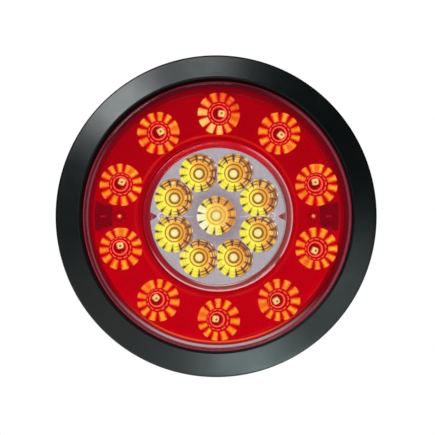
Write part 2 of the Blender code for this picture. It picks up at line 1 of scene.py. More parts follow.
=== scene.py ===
"""The looks of a round trailer lamp in its rubber grommet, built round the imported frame.

The lamp faces -Y with Z up, and its axis is the Y axis. Shapes are worked out in millimetres, and their
points become metres where a skin is made. A radius is the distance from the axis, and a depth is a Y
value, so a smaller depth is nearer to the viewer.
"""

import math

import bmesh
import bpy
import numpy as np
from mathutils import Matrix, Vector


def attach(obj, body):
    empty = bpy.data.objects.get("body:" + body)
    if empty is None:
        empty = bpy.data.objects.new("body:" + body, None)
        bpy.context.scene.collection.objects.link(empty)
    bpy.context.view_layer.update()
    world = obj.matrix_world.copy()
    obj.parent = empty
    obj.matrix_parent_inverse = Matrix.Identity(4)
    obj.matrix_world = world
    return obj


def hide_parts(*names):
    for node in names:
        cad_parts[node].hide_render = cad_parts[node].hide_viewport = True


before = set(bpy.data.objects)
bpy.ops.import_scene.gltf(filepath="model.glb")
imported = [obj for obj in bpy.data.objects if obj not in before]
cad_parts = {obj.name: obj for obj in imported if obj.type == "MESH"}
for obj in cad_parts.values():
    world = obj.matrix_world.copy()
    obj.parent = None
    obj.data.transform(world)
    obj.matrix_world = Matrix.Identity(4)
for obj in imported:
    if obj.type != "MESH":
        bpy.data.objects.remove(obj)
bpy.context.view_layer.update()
MM = 0.001
TURN = 2 * math.pi
SMOOTH_BELOW = math.radians(38)
SIDES = (("left", -1), ("right", 1))

# Driving dimensions, in millimetres
LENS_RADIUS = 54.2
CROWN = 11.5  # how far the middle of the lens stands in front of the panel
DOME = 0.9  # how much less it stands at its edge
RED_CIRCLE = 41.5
RED_COUNT = 10
CLEAR_CIRCLE = 18.6
CLEAR_COUNT = 8
STEP_RADIUS = 32.8
FINE = 288  # sides of the largest rings
HOUSING_BACK_ROWS = 90
VENT_TOP_ROWS = 40
SCREW_HEAD_ROWS = 26


# Curves and colours


def linear(red, green, blue):
    """Linear colour of a display colour given as 0 to 255, by the standard display curve."""
    share = np.array((red, green, blue)) / 255
    return np.where(share > 0.04045, ((share + 0.055) / 1.055) ** 2.4, share / 12.92)


def ease(value, low, high):
    """0 below low, 1 above high, and the cubic 3t^2 - 2t^3 between them."""
    t = np.clip((value - low) / (high - low), 0, 1)
    return t * t * (3 - 2 * t)


def bead(value, middle, half):
    """A raised cosine: 1 at the middle, falling to 0 half a width away on both sides."""
    t = np.clip(np.abs(value - middle) / half, 0, 1)
    return 0.5 + 0.5 * np.cos(math.pi * t)


def tint(red, green, blue):
    """A linear colour."""
    return np.array((red, green, blue))


def blended(low, high, share):
    """Mixes two colours, or two arrays of colours, by an array of shares."""
    return low + (high - low) * share[..., None]


def layered(colour, *layers):
    """Lays colours over a first one in turn, each given as (colour, share)."""
    for over, share in layers:
        colour = blended(colour, over, share)
    return colour


def arc(centre, radius, start, end, steps=8):
    """Points on a circle about centre, from one angle to the other, as rows of (radius, depth)."""
    angle = np.linspace(start, end, steps + 1)
    return np.stack([centre[0] + radius * np.cos(angle), centre[1] + radius * np.sin(angle)], 1)


def softened(corners, closed=True, steps=5):
    """Rounds each corner (a, b, round) of an outline with the parabola through its two tangent points.

    The tangent points lie at the round's length from the corner, or at 0.45 of a side if that is less.
    """
    table = np.array(corners, float)
    here = table[:, :2]
    before = np.roll(here, 1, 0)
    after = np.roll(here, -1, 0)
    to_before = before - here
    to_after = after - here
    long_before = np.maximum(np.linalg.norm(to_before, axis=1), 1e-12)
    long_after = np.maximum(np.linalg.norm(to_after, axis=1), 1e-12)
    reach = np.minimum(table[:, 2], 0.45 * np.minimum(long_before, long_after))
    if not closed:
        reach[0] = 0
        reach[-1] = 0
    first = here + to_before * (reach / long_before)[:, None]
    last = here + to_after * (reach / long_after)[:, None]
    t = np.linspace(0, 1, steps)[None, :, None]
    curve = (1 - t) ** 2 * first[:, None] + 2 * t * (1 - t) * here[:, None] + t**2 * last[:, None]
    points = curve.reshape(-1, 2)
    apart = np.linalg.norm(points - np.roll(points, 1, 0), axis=1) > 1e-7
    if not closed:
        apart[0] = True
    return points[apart]


# Meshes


def signed_volume(points, quads, triangles):
    """Six times the volume inside a closed mesh: the sum of a . (b x c) over its triangles."""
    split = np.concatenate([quads[:, [0, 1, 2]], quads[:, [0, 2, 3]], triangles])
    a, b, c = (points[split[:, i]] for i in range(3))
    return np.einsum("ij,ij->", a, np.cross(b, c))


def mesh_piece(name, points, quads, triangles, material, tone=None, weld=False):
    """Makes an object of the faces, turned outwards by the sign of their volume, with a colour per point."""
    if signed_volume(points - points.mean(0), quads, triangles) < 0:
        quads = quads[:, ::-1]
        triangles = triangles[:, ::-1]
    used, packed = np.unique(np.concatenate([quads.ravel(), triangles.ravel()]), return_inverse=True)
    faces = packed[: quads.size].reshape(-1, 4).tolist() + packed[quads.size :].reshape(-1, 3).tolist()
    mesh = bpy.data.meshes.new(name)
    mesh.from_pydata(points[used].tolist(), [], faces)
    if tone is not None:
        layer = mesh.attributes.new("tone", "FLOAT_COLOR", "POINT")
        layer.data.foreach_set("color", tone[used].astype(np.float32).ravel())
    if weld:
        shape = bmesh.new()
        shape.from_mesh(mesh)
        bmesh.ops.remove_doubles(shape, verts=shape.verts, dist=0.002 * MM)
        shape.to_mesh(mesh)
        shape.free()
    mesh.materials.append(material)
    mesh.shade_smooth()
    mesh.set_sharp_from_angle(angle=SMOOTH_BELOW)
    piece = bpy.data.objects.new(name, mesh)
    bpy.context.scene.collection.objects.link(piece)
    return piece


def skin(name, rings, closed, material, tone=None):
    """A closed skin over rows of points that each go once round. A row that meets in a point is a pole.

    rings is rows x sides x 3. A closed skin joins its last row to its first.
    """
    rows, sides = rings.shape[:2]
    index = np.arange(rows * sides).reshape(rows, sides)
    for row in (0, rows - 1):
        if np.ptp(rings[row], axis=0).max() < 1e-9:
            index[row] = index[row, 0]
    lower = index if closed else index[:-1]
    upper = np.roll(index, -1, 0) if closed else index[1:]
    quads = np.stack([lower, np.roll(lower, -1, 1), np.roll(upper, -1, 1), upper], -1).reshape(-1, 4)
    start = quads[:, 0] == quads[:, 1]
    end = quads[:, 2] == quads[:, 3]
    triangles = np.concatenate([quads[start][:, [0, 2, 3]], quads[end][:, [0, 1, 2]]])
    if tone is not None:
        tone = tone.reshape(-1, tone.shape[-1])
    return mesh_piece(name, rings.reshape(-1, 3), quads[~start & ~end], triangles, material, tone)


def polar(radius, depth, angle, place=(0.0, 0.0)):
    """Points at (x + r cos a, depth, z + r sin a), from arrays of one shape."""
    radius, depth, angle = np.broadcast_arrays(radius, depth, angle)
    return np.stack([place[0] + radius * np.cos(angle), depth, place[1] + radius * np.sin(angle)], -1)


def around(sides):
    """Evenly spaced angles once round."""
    return np.arange(sides) * TURN / sides


def with_alpha(colour, alpha):
    """Adds a fourth channel to an array of colours."""
    alpha = np.broadcast_to(alpha, colour.shape[:-1])
    return np.concatenate([colour, alpha[..., None]], -1)


def spun(outline, sides):
    """Arrays of radius, depth and angle for a profile of (radius, depth) points carried once round."""
    angle = around(sides)[None, :]
    radius = outline[:, 0][:, None] + 0 * angle
    depth = outline[:, 1][:, None] + 0 * angle
    return radius, depth, angle + 0 * radius


def turned(name, outline, sides, material, x=0.0, closed=True, tone=None):
    """A profile in millimetres carried once round the line along Y at x.

    tone, if given, works out a colour with alpha from arrays of radius in millimetres and angle.
    """
    radius, depth, angle = spun(outline * MM, sides)
    colours = None if tone is None else tone(radius / MM, angle)
    return skin(name, polar(radius, depth, angle, (x * MM, 0.0)), closed, material, colours)


def rounded_box_ring(half_width, half_height, corner, samples=12):
    """Once round a rectangle with quarter-circle corners, as arrays of x and z."""
    quarter = np.linspace(0, TURN / 4, samples)
    starts = np.array([0, 1, 2, 3])[:, None] * TURN / 4
    angle = (quarter[None, :] + starts).ravel()
    centre_x = np.repeat(np.array([1, -1, -1, 1]) * (half_width - corner), samples)
    centre_z = np.repeat(np.array([1, 1, -1, -1]) * (half_height - corner), samples)
    return centre_x + corner * np.cos(angle), centre_z + corner * np.sin(angle)


def lofted_box(name, sections, material, place=(0.0, 0.0), paint=None, taper=0.0):
    """A skin over rounded rectangles (half width, half height, corner, depth), with a pole at each end.

    Heights are scaled by 1 + taper * x / half width, so a taper makes a wedge. All in millimetres.
    """
    middle_x, middle_z = place[0] * MM, place[1] * MM
    sections = np.array(sections) * MM
    rings = []
    for half_width, half_height, corner, depth in sections:
        x, z = rounded_box_ring(half_width, half_height, corner)
        z = z * (1 + taper * x / half_width)
        rings.append(np.stack([middle_x + x, np.full_like(x, depth), middle_z + z], -1))
    first = rings[0] * 0 + [middle_x, sections[0][3], middle_z]
    last = rings[-1] * 0 + [middle_x, sections[-1][3], middle_z]
    rings = np.array([first, *rings, last])
    tone = None if paint is None else np.broadcast_to(paint, (*rings.shape[:2], 4))
    return skin(name, rings, False, material, tone)


def on_circle(radius, count, start):
    """Evenly spaced places on a circle on the lamp's face."""
    angle = start + around(count)
    return list(zip(radius * np.cos(angle), radius * np.sin(angle)))


# Finishes


class Recipe:
    """A material's node tree, with short calls for the nodes that the finishes below share."""

    def __init__(self, name):
        self.material = bpy.data.materials.new(name)
        self.material.use_nodes = True
        self.tree = self.material.node_tree
        self.shader = self.tree.nodes["Principled BSDF"]
        self.places = self.add("ShaderNodeTexCoord", {}).outputs["Object"]

    def link(self, source, target):
        self.tree.links.new(source, target)

    def add(self, kind, values, **settings):
        """Makes a node with its settings, and gives each input its value or the output that feeds it."""
        made = self.tree.nodes.new(kind)
        for key, value in settings.items():
            setattr(made, key, value)
        for key, value in values.items():
            if isinstance(value, bpy.types.NodeSocket):
                self.link(value, made.inputs[key])
            else:
                made.inputs[key].default_value = value
        return made

    def noise(self, scale, detail=3.0):
        """A noise pattern whose blotches are about 1 / scale metres wide, in the piece's own coordinates."""
        values = {"Scale": scale, "Detail": detail, "Vector": self.places}
        return self.add("ShaderNodeTexNoise", values).outputs["Fac"]

    def span(self, source, low, high):
        """Maps the middle of a pattern, from 0.3 to 0.7, to a range of values."""
        values = {"Value": source, "From Min": 0.3, "From Max": 0.7, "To Min": low, "To Max": high}
        return self.add("ShaderNodeMapRange", values).outputs["Result"]

    def ramp(self, source, dark, light):
        """A colour ramp over the middle of a pattern."""
        made = self.add("ShaderNodeValToRGB", {"Fac": source})
        for element, position, colour in zip(made.color_ramp.elements, (0.3, 0.7), (dark, light)):
            element.position = position
            element.color = (*colour, 1.0)
        return made.outputs["Color"]

    def scaled(self, colour, factor):
        """A colour times a number or a pattern."""
        values = {0: colour, "Scale": factor}
        return self.add("ShaderNodeVectorMath", values, operation="SCALE").outputs["Vector"]

    def bump(self, pattern, distance):
        """Raises a pattern by a distance in metres."""
        made = self.add("ShaderNodeBump", {"Height": pattern, "Distance": distance})
        self.feed(Normal=made.outputs["Normal"])

    def feed(self, **sources):
        """Links outputs to the shader's inputs, whose names are given with _ for a space."""
        for key, source in sources.items():
            self.link(source, self.shader.inputs[key.replace("_", " ")])

    def set(self, **values):
        """Sets the shader's inputs, whose names are given with _ for a space."""
        for key, value in values.items():
            self.shader.inputs[key.replace("_", " ")].default_value = value


def moulded(name, colour, roughness, blotch=90, grain=1800, depth=0.02 * MM, shade=0.2, spread=0.08, **more):
    """A moulded, cast or plated finish: blotches in its colour, streaks in its gloss and a fine grain."""
    recipe = Recipe(name)
    dark = tuple(np.array(colour) * (1 - shade))
    light = tuple(np.minimum(np.array(colour) * (1 + shade), 1))
    gloss = recipe.span(recipe.noise(blotch * 2.3), roughness - spread, roughness + spread)
    recipe.feed(Base_Color=recipe.ramp(recipe.noise(blotch, 5), dark, light), Roughness=gloss)
    recipe.bump(recipe.noise(grain, 2), depth)
    recipe.set(**more)
    return recipe.material


def toned(
    name, roughness, glow, own=0.6, grain=900, depth=0.01 * MM, spread=0.05, clear=False, flecks=0.08, **more
):
    """A finish that takes its colour, with any painted light and shade, from the piece's "tone" attribute,
    with flecks, a grain and a glow.

    glow is the strength of light given out, and own is the share of the colour that the surface itself
    keeps. With clear set, the attribute's alpha is how opaque it is.
    """
    recipe = Recipe(name)
    paint = recipe.add("ShaderNodeAttribute", {}, attribute_name="tone")
    colour = recipe.scaled(paint.outputs["Color"], recipe.span(recipe.noise(700, 3), 1 - flecks, 1 + flecks))
    gloss = recipe.span(recipe.noise(300), roughness - spread, roughness + spread)
    recipe.feed(Base_Color=recipe.scaled(colour, own), Roughness=gloss)
    if glow:
        recipe.feed(Emission_Color=colour)
        recipe.set(Emission_Strength=glow)
    if clear:
        recipe.feed(Alpha=paint.outputs["Alpha"])
    recipe.bump(recipe.noise(grain, 2), depth)
    recipe.set(**more)
    return recipe.material


BLACK_RUBBER = moulded(
    "satin_black_rubber", (0.0038, 0.0058, 0.0056), 0.35, blotch=60, grain=2200, depth=0.012 * MM,
    spread=0.03,
)
BLACK_PLASTIC = moulded("black_moulded_plastic", (0.016, 0.016, 0.018), 0.36, grain=1500, depth=0.02 * MM)
SEAL_RUBBER = moulded("grey_seal_rubber", (0.05, 0.05, 0.05), 0.6)
BLADE_BRASS = moulded(
    "tinned_brass", (0.72, 0.66, 0.5), 0.24, grain=2600, depth=0.004 * MM, shade=0.12, Metallic=1.0,
)
CAN_ALUMINIUM = moulded("can_aluminium", (0.7, 0.7, 0.72), 0.3, Metallic=1.0)
CHIP_EPOXY = moulded("black_chip_epoxy", (0.03, 0.03, 0.032), 0.5)
BOARD_LAMINATE = moulded("green_board_laminate", (0.035, 0.17, 0.07), 0.32, blotch=400)
VENT_FELT = moulded("white_vent_membrane", (0.8, 0.8, 0.77), 0.75, grain=5000)
DIODE_RESIN = moulded("diode_resin", (0.95, 0.86, 0.6), 0.15)

# The glow of the lens, the joint ring, the plates and the screw is painted light for the diodes' light inside
# the lamp, since none of them is a lamp. The optics glow as the lit optics over the diodes, with painted
# light and shade in their tones.
RED_ACRYLIC = toned(
    "red_lens_acrylic", 0.06, 0.4, own=1.0, grain=160, depth=0.004 * MM, spread=0.02, clear=True, flecks=0.03,
    Specular_IOR_Level=0.2,
)
CLEAR_ACRYLIC = toned(
    "clear_lens_acrylic", 0.05, 0.0, own=1.0, grain=160, depth=0.004 * MM, spread=0.02, clear=True,
    flecks=0.02,
)
TINTED_ACRYLIC = toned(
    "pink_joint_acrylic", 0.12, 0.25, own=0.9, grain=300, depth=0.006 * MM, spread=0.03, clear=True,
    Specular_IOR_Level=0.2,
)
RED_PLATE = toned("red_reflector_plastic", 0.4, 0.5, own=0.85, grain=1200, Specular_IOR_Level=0.2)
LILAC_PLATE = toned("lilac_reflector_plastic", 0.35, 0.6, own=0.8, grain=1200)
LIT_AMBER = toned("lit_amber_optic", 0.16, 1.35, own=0.2, Specular_IOR_Level=0.25)
LIT_GOLD = toned("lit_gold_optic", 0.12, 0.95, own=0.12, Specular_IOR_Level=0.5)
# The screw is plain steel, painted red and made to glow for the red light inside the lamp.
RED_GLOWING_STEEL = toned("red_glowing_screw_steel", 0.3, 0.6, own=0.6, grain=3000, depth=0.006 * MM)


# Grommet and housing


def build_grommet():
    """A rubber ring: its profile is two arcs joined by the cone, then the panel groove, barb and lamp groove.

    The crest is slid a little up and to the left, so it lies closer to the lens below and to the right.
    """
    crest = arc((55.61, -8.44), 0.6, -math.pi, math.radians(-57), 14)
    edge = arc((63.4, -2.4), 1.6, math.radians(-57), 0, 10)
    cone = np.linspace(crest[-1], edge[0], 18)[1:-1]
    front = np.concatenate([[[54.6, -6.8]], crest, cone, edge])
    rear = softened(
        [
            (65.0, -2.4, 0.0), (65.0, -0.8, 0.4), (64.2, 0.0, 0.4), (57.6, 0.0, 0.5), (57.6, 3.2, 0.5),
            (61.2, 3.2, 0.4), (61.2, 5.4, 0.8), (57.0, 12.0, 0.9), (56.4, 12.6, 0.4),
            (51.8, 12.6, 0.4), (51.2, 12.0, 0.4), (51.2, 1.2, 0.2), (55.9, 1.2, 0.2),
            (55.9, -4.3, 0.2), (54.6, -4.3, 0.2), (54.6, -6.8, 0.0),
        ],
        closed=False,
    )
    outline = np.concatenate([front, rear[1:-1]])
    radius, depth, angle = spun(outline, FINE)
    points = polar(radius, depth, angle)
    slip = np.clip((63.4 - radius) / 7.4, 0, 1) * np.where(radius < 56, ease(-depth, 6.9, 7.9), depth < 0)
    points[..., 0] -= 0.35 * slip
    points[..., 2] += 0.5 * slip
    return skin("rubber_grommet", points * MM, True, BLACK_RUBBER), ["grommet"], "black_rubber"


RIB_COUNT = 16
VENT_PLACE = (-30.0, -20.0)


def housing_recess(radius, angle):
    """How far the back is sunk between its ribs: a ring of pockets, kept away from the ribs and the vent."""
    across = radius * np.abs(np.sin(RIB_COUNT / 2 * angle)) / (RIB_COUNT / 2)
    ring = ease(radius, 25.5, 26.3) * (1 - ease(radius, 44.4, 45.2))
    x = radius * np.cos(angle)
    z = radius * np.sin(angle)
    vent = ease(np.hypot(x - VENT_PLACE[0], z - VENT_PLACE[1]), 7.4, 8.2)
    return 0.7 * ring * vent * ease(across, 0.55, 0.95)


def build_housing():
    """A cup: the back, whose rows sink between ribs, then the side and flange, and then the inside."""
    outside = softened(
        [
            (51.9, -3.9, 0.0), (50.4, -3.9, 0.2), (50.4, -0.2, 0.1), (49.0, -0.2, 0.1),
            (49.0, 5.9, 0.1), (46.6, 5.9, 0.1), (46.6, 19.6, 1.0), (0.0, 19.6, 0.0),
        ],
        closed=False,
    )
    rows = HOUSING_BACK_ROWS
    back = np.stack([np.linspace(0, 48.2, rows), np.full(rows, 22.0)], 1)
    side = softened(
        [
            (48.2, 22.0, 0.0), (48.9, 22.0, 0.5), (50.8, 20.0, 0.8), (50.8, 0.8, 0.3),
            (55.5, 0.8, 0.3), (55.5, -3.9, 0.3), (54.3, -3.9, 0.2), (54.3, -2.4, 0.1),
            (51.9, -2.4, 0.1), (51.9, -3.9, 0.0),
        ],
        closed=False,
    )
    outline = np.concatenate([back, side[1:], outside[1:]])
    radius, depth, angle = spun(outline, FINE)
    depth[:rows] -= housing_recess(radius[:rows], angle[:rows])
    piece = skin("lamp_housing", polar(radius * MM, depth * MM, angle), False, BLACK_PLASTIC)
    return piece, ["housing"], "black_plastic"


# Lens


def lens_front(radius):
    """Depth of the lens's domed face, in millimetres: it falls away as the square of the radius."""
    return -(CROWN - DOME * (radius / LENS_RADIUS) ** 2)


def lens_run(start, end, inset, steps):
    """Points along the lens's face, or along its inner face by an inset."""
    radius = np.linspace(start, end, steps)
    return np.stack([radius, lens_front(radius) + inset], 1)


def swing_between(angle, start, end, soft):
    """1 for angles from start to end in degrees, going anticlockwise, with soft ends."""
    middle = (start + end) / 2
    off = np.abs((np.degrees(angle) - middle + 180) % 360 - 180)
    return 1 - ease(off, (end - start) / 2 - soft, (end - start) / 2 + soft)


def red_lens_tone(r, angle):
    """Deep red over the lights and dark maroon in the skirt, with painted highlights on the skirt and
    shoulder and a painted glow line of gathered light at the foot.
    """
    # foot, low and right mark where painted highlights lie: foot at the bottom, low from the left round to
    # the bottom, right on the right side.
    foot = swing_between(angle, 234, 304, 22)
    low = swing_between(angle, 150, 300, 14)
    right = swing_between(angle, -60, 60, 15)
    skirt = layered(
        tint(0.085, 0.004, 0.010),
        (tint(0.34, 0.07, 0.09), low * bead(r, 52.5, 0.5)),
        (tint(1.0, 0.80, 0.86), foot * bead(r, 52.2, 0.5)),
    )
    # Painted highlights along the shoulder, and a painted glow line just inside the skirt at the foot.
    rim = np.maximum(right * bead(r, 53.2, 0.9), (0.25 + 0.4 * low) * bead(r, 54.0, 0.5))
    glow = 0.9 * bead(r, 50.4, 0.65) * foot
    colour = layered(
        tint(0.45, 0.0005, 0.007),
        (skirt, ease(r, 51.6, 52.0)),
        (tint(0.40, 0.05, 0.08), rim),
        (tint(1.3, 0.15, 0.05), glow),
    )
    alpha = 0.2 + 0.5 * ease(r, 51.6, 52.0) + 0.6 * glow
    return with_alpha(colour, np.minimum(alpha, 0.92))


def build_red_lens():
    """The red ring: the domed face, a shoulder of radius 1.7, the skirt, and the inner face."""
    flat_end = 52.5
    shoulder = arc((flat_end, lens_front(flat_end) + 1.7), 1.7, -math.pi / 2, 0, 12)
    outline = np.concatenate(
        [
            lens_run(30.4, flat_end, 0.0, 40)[:-1],
            shoulder,
            [[LENS_RADIUS, -4.9], [53.9, -4.6], [52.3, -4.6], [52.0, -4.9]],
            lens_run(52.0, 30.4, 2.2, 40),
        ]
    )
    return turned("red_lens_ring", outline, FINE, RED_ACRYLIC, tone=red_lens_tone), ["outer_lens"], "red_lens"


def clear_lens_tone(r, angle):
    """Nearly clear, with a whiter edge."""
    colour = np.zeros(r.shape)[..., None] + tint(0.62, 0.58, 0.63)
    return with_alpha(colour, 0.04 + 0.3 * ease(r, 26.7, 26.95))


def build_clear_lens():
    """The clear disc, domed with the red ring, closed at a pole on each face."""
    outline = np.concatenate(
        [
            lens_run(0.0, 26.8, 0.0, 26),
            [[27.0, lens_front(27.0) + 0.2], [27.0, lens_front(27.0) + 2.0]],
            lens_run(26.8, 0.0, 2.2, 26),
        ]
    )
    piece = turned("clear_lens_disc", outline, 192, CLEAR_ACRYLIC, closed=False, tone=clear_lens_tone)
    return piece, ["centre_lens"], "clear_lens"


def joint_tone(r, angle):
    """A red band in painted light, brightest at the top. Its outer edge has a painted pale pink highlight
    line, except at the upper left, its inner edge a painted highlight that is fainter on the left, and its
    foot a painted pinkish-white highlight.
    """
    # top and left set the painted light across the band, and line and foot place painted highlights.
    top = ease(np.sin(angle), 0.35, 0.95)
    line = swing_between(angle, 215, 422, 14) * (1 - swing_between(angle, 320, 327, 1.5))
    left = swing_between(angle, 110, 250, 25)
    band = blended(tint(0.34, 0.05, 0.05), tint(0.40, 0.006, 0.02), left)
    band = blended(band, tint(0.74, 0.006, 0.02), top)
    colour = layered(
        band,
        (tint(1.1, 0.44, 0.46), line * bead(r, 29.8, 0.6)),
        (tint(0.10, 0.02, 0.03), 0.6 * bead(r, 28.0, 0.3)),
        (tint(0.50, 0.32, 0.34), (1 - 0.7 * left) * bead(r, 27.3, 0.22)),
    )
    foot = swing_between(angle, 250, 292, 10)
    colour = blended(colour, tint(1.0, 0.6, 0.55), foot * bead(r, 27.8, 0.4))
    return with_alpha(colour, 0.86 + 0.1 * bead(r, 29.75, 0.5))


def build_joint_ring():
    """The ring between the lenses: a low band with a round bead on its outer edge and a fine one inside."""
    radius = np.linspace(27.35, 30.05, 34)
    lift = 0.5 * bead(radius, 29.6, 0.75) + 0.25 * bead(radius, 27.6, 0.4)
    front = np.stack([radius, -11.05 - lift], 1)
    rear = [[30.1, -10.8], [30.1, -8.6], [29.9, -8.4], [27.5, -8.4], [27.3, -8.6], [27.3, -10.8]]
    outline = np.concatenate([front, rear])
    piece = turned("tinted_joint_ring", outline, FINE, TINTED_ACRYLIC, tone=joint_tone)
    return piece, ["lens_joint_ring"], "pink_joint"


# Plates


def sector_grid(inner, outer, count, circle, hole, steps, columns):
    """A grid from the hole round an optic to the edge of its sector of the plate, for the sector at angle 0.

    Each column is a ray from the optic's centre. It ends where it first meets the outer arc, the inner
    arc or one of the two straight sides, and the columns are spaced evenly between the four corners.
    Returns x and z, and for each column whether it ends on an arc.
    """
    half = math.pi / count
    corner_angle = np.array([half, half, -half, -half])
    corner_radius = np.array([outer, inner, inner, outer])
    x = corner_radius * np.cos(corner_angle) - circle
    z = corner_radius * np.sin(corner_angle)
    turn = np.unwrap(np.arctan2(z, x))
    turn = np.append(turn, turn[0] + TURN)
    angle = np.concatenate([np.linspace(a, b, columns, endpoint=False) for a, b in zip(turn, turn[1:])])
    side = np.repeat(np.arange(4), columns)
    cos, sin = np.cos(angle), np.sin(angle)
    outward = -circle * cos + np.sqrt(np.maximum(outer**2 - (circle * sin) ** 2, 0))
    inward = -circle * cos - np.sqrt(np.maximum(inner**2 - (circle * sin) ** 2, 0))
    upper = circle * math.sin(half) / np.maximum(np.sin(angle - half), 1e-9)
    lower = circle * math.sin(half) / np.maximum(-np.sin(angle + half), 1e-9)
    reach = np.choose(side, [upper, inward, lower, outward])
    share = np.linspace(0, 1, steps)[:, None]
    distance = hole + (reach - hole)[None, :] * share
    corner = side != np.roll(side, 1)
    on_arc = (side % 2 == 1) | corner
    return circle + distance * cos, distance * sin, on_arc


def drilled_plate(name, inner, outer, count, start, circle, hole, front, material, tone):
    """A ring-shaped plate with a round hole for each optic: one sector grid, turned to every sector.

    front and tone work out the front's depth and the colour from x and z. The back is flat, at depth 0.
    """
    steps, columns = 22, 26
    x, z, on_arc = sector_grid(inner, outer, count, circle, hole, steps, columns)
    sides = x.shape[1]
    turn = (start + around(count))[:, None, None]
    world_x = x * np.cos(turn) - z * np.sin(turn)
    world_z = x * np.sin(turn) + z * np.cos(turn)
    top = np.stack([world_x, front(world_x, world_z), world_z], -1)
    bottom = np.stack([world_x, np.zeros_like(world_x), world_z], -1)
    points = np.stack([top, bottom], 1).reshape(-1, 3)
    cell = np.arange(count * 2 * steps * sides).reshape(count, 2, steps, sides)
    after = np.roll(cell, -1, 3)
    upper = np.stack([cell[:, 0, :-1], after[:, 0, :-1], after[:, 0, 1:], cell[:, 0, 1:]], -1).reshape(-1, 4)
    under = np.stack([cell[:, 1, :-1], cell[:, 1, 1:], after[:, 1, 1:], after[:, 1, :-1]], -1).reshape(-1, 4)
    wall = np.stack([cell[:, 0, 0], cell[:, 1, 0], after[:, 1, 0], after[:, 0, 0]], -1).reshape(-1, 4)
    edge = on_arc & np.roll(on_arc, -1)
    rim = np.stack([cell[:, 0, -1], after[:, 0, -1], after[:, 1, -1], cell[:, 1, -1]], -1)
    rim = rim[:, edge].reshape(-1, 4)
    quads = np.concatenate([upper, under, wall, rim])
    none = np.zeros((0, 3), int)
    paint = tone(points[:, 0], points[:, 2])
    return mesh_piece(name, points * MM, quads, none, material, paint, weld=True)


def pocket_mask(x, z):
    """1 inside the two pockets at three and nine o'clock: trapezoids that widen outwards."""
    out = np.abs(x)
    half = 3.9 + 0.3 * (out - 41.9)
    return ease(out, 41.7, 42.2) * (1 - ease(out, 48.6, 49.2)) * (1 - ease(np.abs(z), half - 0.3, half + 0.3))


def red_plate_front(x, z):
    """Flat, with a rounded step inwards and the two pockets sunk 0.9 deep."""
    radius = np.hypot(x, z)
    step = 0.7 * (1 - ease(radius, STEP_RADIUS - 0.3, STEP_RADIUS + 0.3))
    return -1.2 - step + 0.9 * pocket_mask(x, z)


def red_plate_tone(x, z):
    """Red, painted brighter downwards, with painted highlights along the step and the inner edge that are
    strongest at the top, and painted shade inside the step and in the pockets.
    """
    radius = np.hypot(x, z)
    down = ease(-z, -30.0, 30.0)[..., None]
    # Painted light, brighter downwards.
    colour = tint(0.45, 0.0, 0.007) * (1 + 0.40 * down)
    # Painted shade inside the step, next to the joint ring.
    colour = blended(colour, tint(0.25, 0.0, 0.006), 1 - ease(radius, 30.4, 32.4))
    # above weights the painted highlights towards the top.
    above = 0.3 + 0.7 * ease(z / radius, 0.2, 0.8)
    colour = layered(
        colour,
        (tint(1.0, 0.03, 0.01), 0.9 * above * bead(radius, STEP_RADIUS, 0.7)),
        (tint(0.75, 0.01, 0.015), above * bead(radius, 30.4, 0.7)),
        (tint(0.085, 0.004, 0.014), pocket_mask(x, z)),
    )
    return with_alpha(colour, 1.0)


def build_red_plate():
    """The plate round the ten outer optics, without its bowl."""
    piece = drilled_plate(
        "red_reflector_plate", 30.4, 47.75, RED_COUNT, math.pi / 2, RED_CIRCLE, 5.9,
        red_plate_front, RED_PLATE, red_plate_tone,
    )
    return piece, ["red_zone_plate"], "red_plate"


def bowl_tone(r, angle):
    """Red on the bowl's wall, painted brighter downwards and in painted shade across the top, darker on its
    flat rim, and darkest in painted shade at the pockets.
    """
    # shade is painted shade across the top of the wall, and down is painted light towards the bottom.
    shade = ease(np.sin(angle), -0.2, 0.9)
    down = ease(-np.sin(angle), -0.7, 0.7)
    wall = blended(tint(0.45, 0.0, 0.007), tint(0.63, 0.0, 0.010), down)
    wall = blended(wall, tint(0.22, 0.001, 0.006), shade * ease(r, 48.4, 49.4))
    colour = blended(wall, tint(0.13, 0.001, 0.006), ease(r, 49.6, 50.4))
    swing = np.degrees(np.abs(np.arctan2(np.sin(angle), np.abs(np.cos(angle)))))
    pocket = (1 - ease(swing, 6.6, 7.5)) * (1 - ease(r, 49.2, 49.6))
    return with_alpha(blended(colour, tint(0.085, 0.004, 0.014), pocket), 1.0)


def build_bowl():
    """The shallow bowl round the plate, and its rim in front of the housing's."""
    outline = softened(
        [
            (47.78, -1.2, 0.1), (49.2, -4.4, 0.4), (49.8, -5.0, 0.3), (51.6, -5.0, 0.2),
            (51.6, -4.2, 0.2), (50.1, -4.2, 0.2), (50.1, -0.5, 0.2), (48.6, -0.5, 0.1),
            (48.6, 0.0, 0.1), (47.78, 0.0, 0.1),
        ]
    )
    piece = turned("red_reflector_bowl", outline, FINE, RED_PLATE, tone=bowl_tone)
    return piece, ["red_zone_plate"], "red_plate"


def lilac_plate_tone(x, z):
    """Lilac grey, darker close to the middle optic, with a pale line out from it to each post."""
    radius = np.hypot(x, z)
    colour = np.zeros(radius.shape)[..., None] + linear(192, 187, 196)
    colour = blended(linear(166, 150, 164), colour, ease(radius, 8, 15))
    out = np.abs(x)
    line = bead(z, 0.1 + 0.3 * np.sin(out * 0.5), 0.22) * ease(out, 8.8, 9.6) * (1 - ease(out, 23, 24))
    return with_alpha(blended(colour, linear(240, 226, 226), 0.85 * line), 1.0)


def build_lilac_plate():
    """The plate among the nine inner optics."""
    piece = drilled_plate(
        "lilac_reflector_plate", 5.5, 27.8, CLEAR_COUNT, math.pi / CLEAR_COUNT, CLEAR_CIRCLE, 4.9,
        lambda x, z: -1.2 - 0.3 * ease(np.hypot(x, z), 26.2, 27.4), LILAC_PLATE, lilac_plate_tone,
    )
    return piece, ["centre_zone_plate"], "lilac_plate"


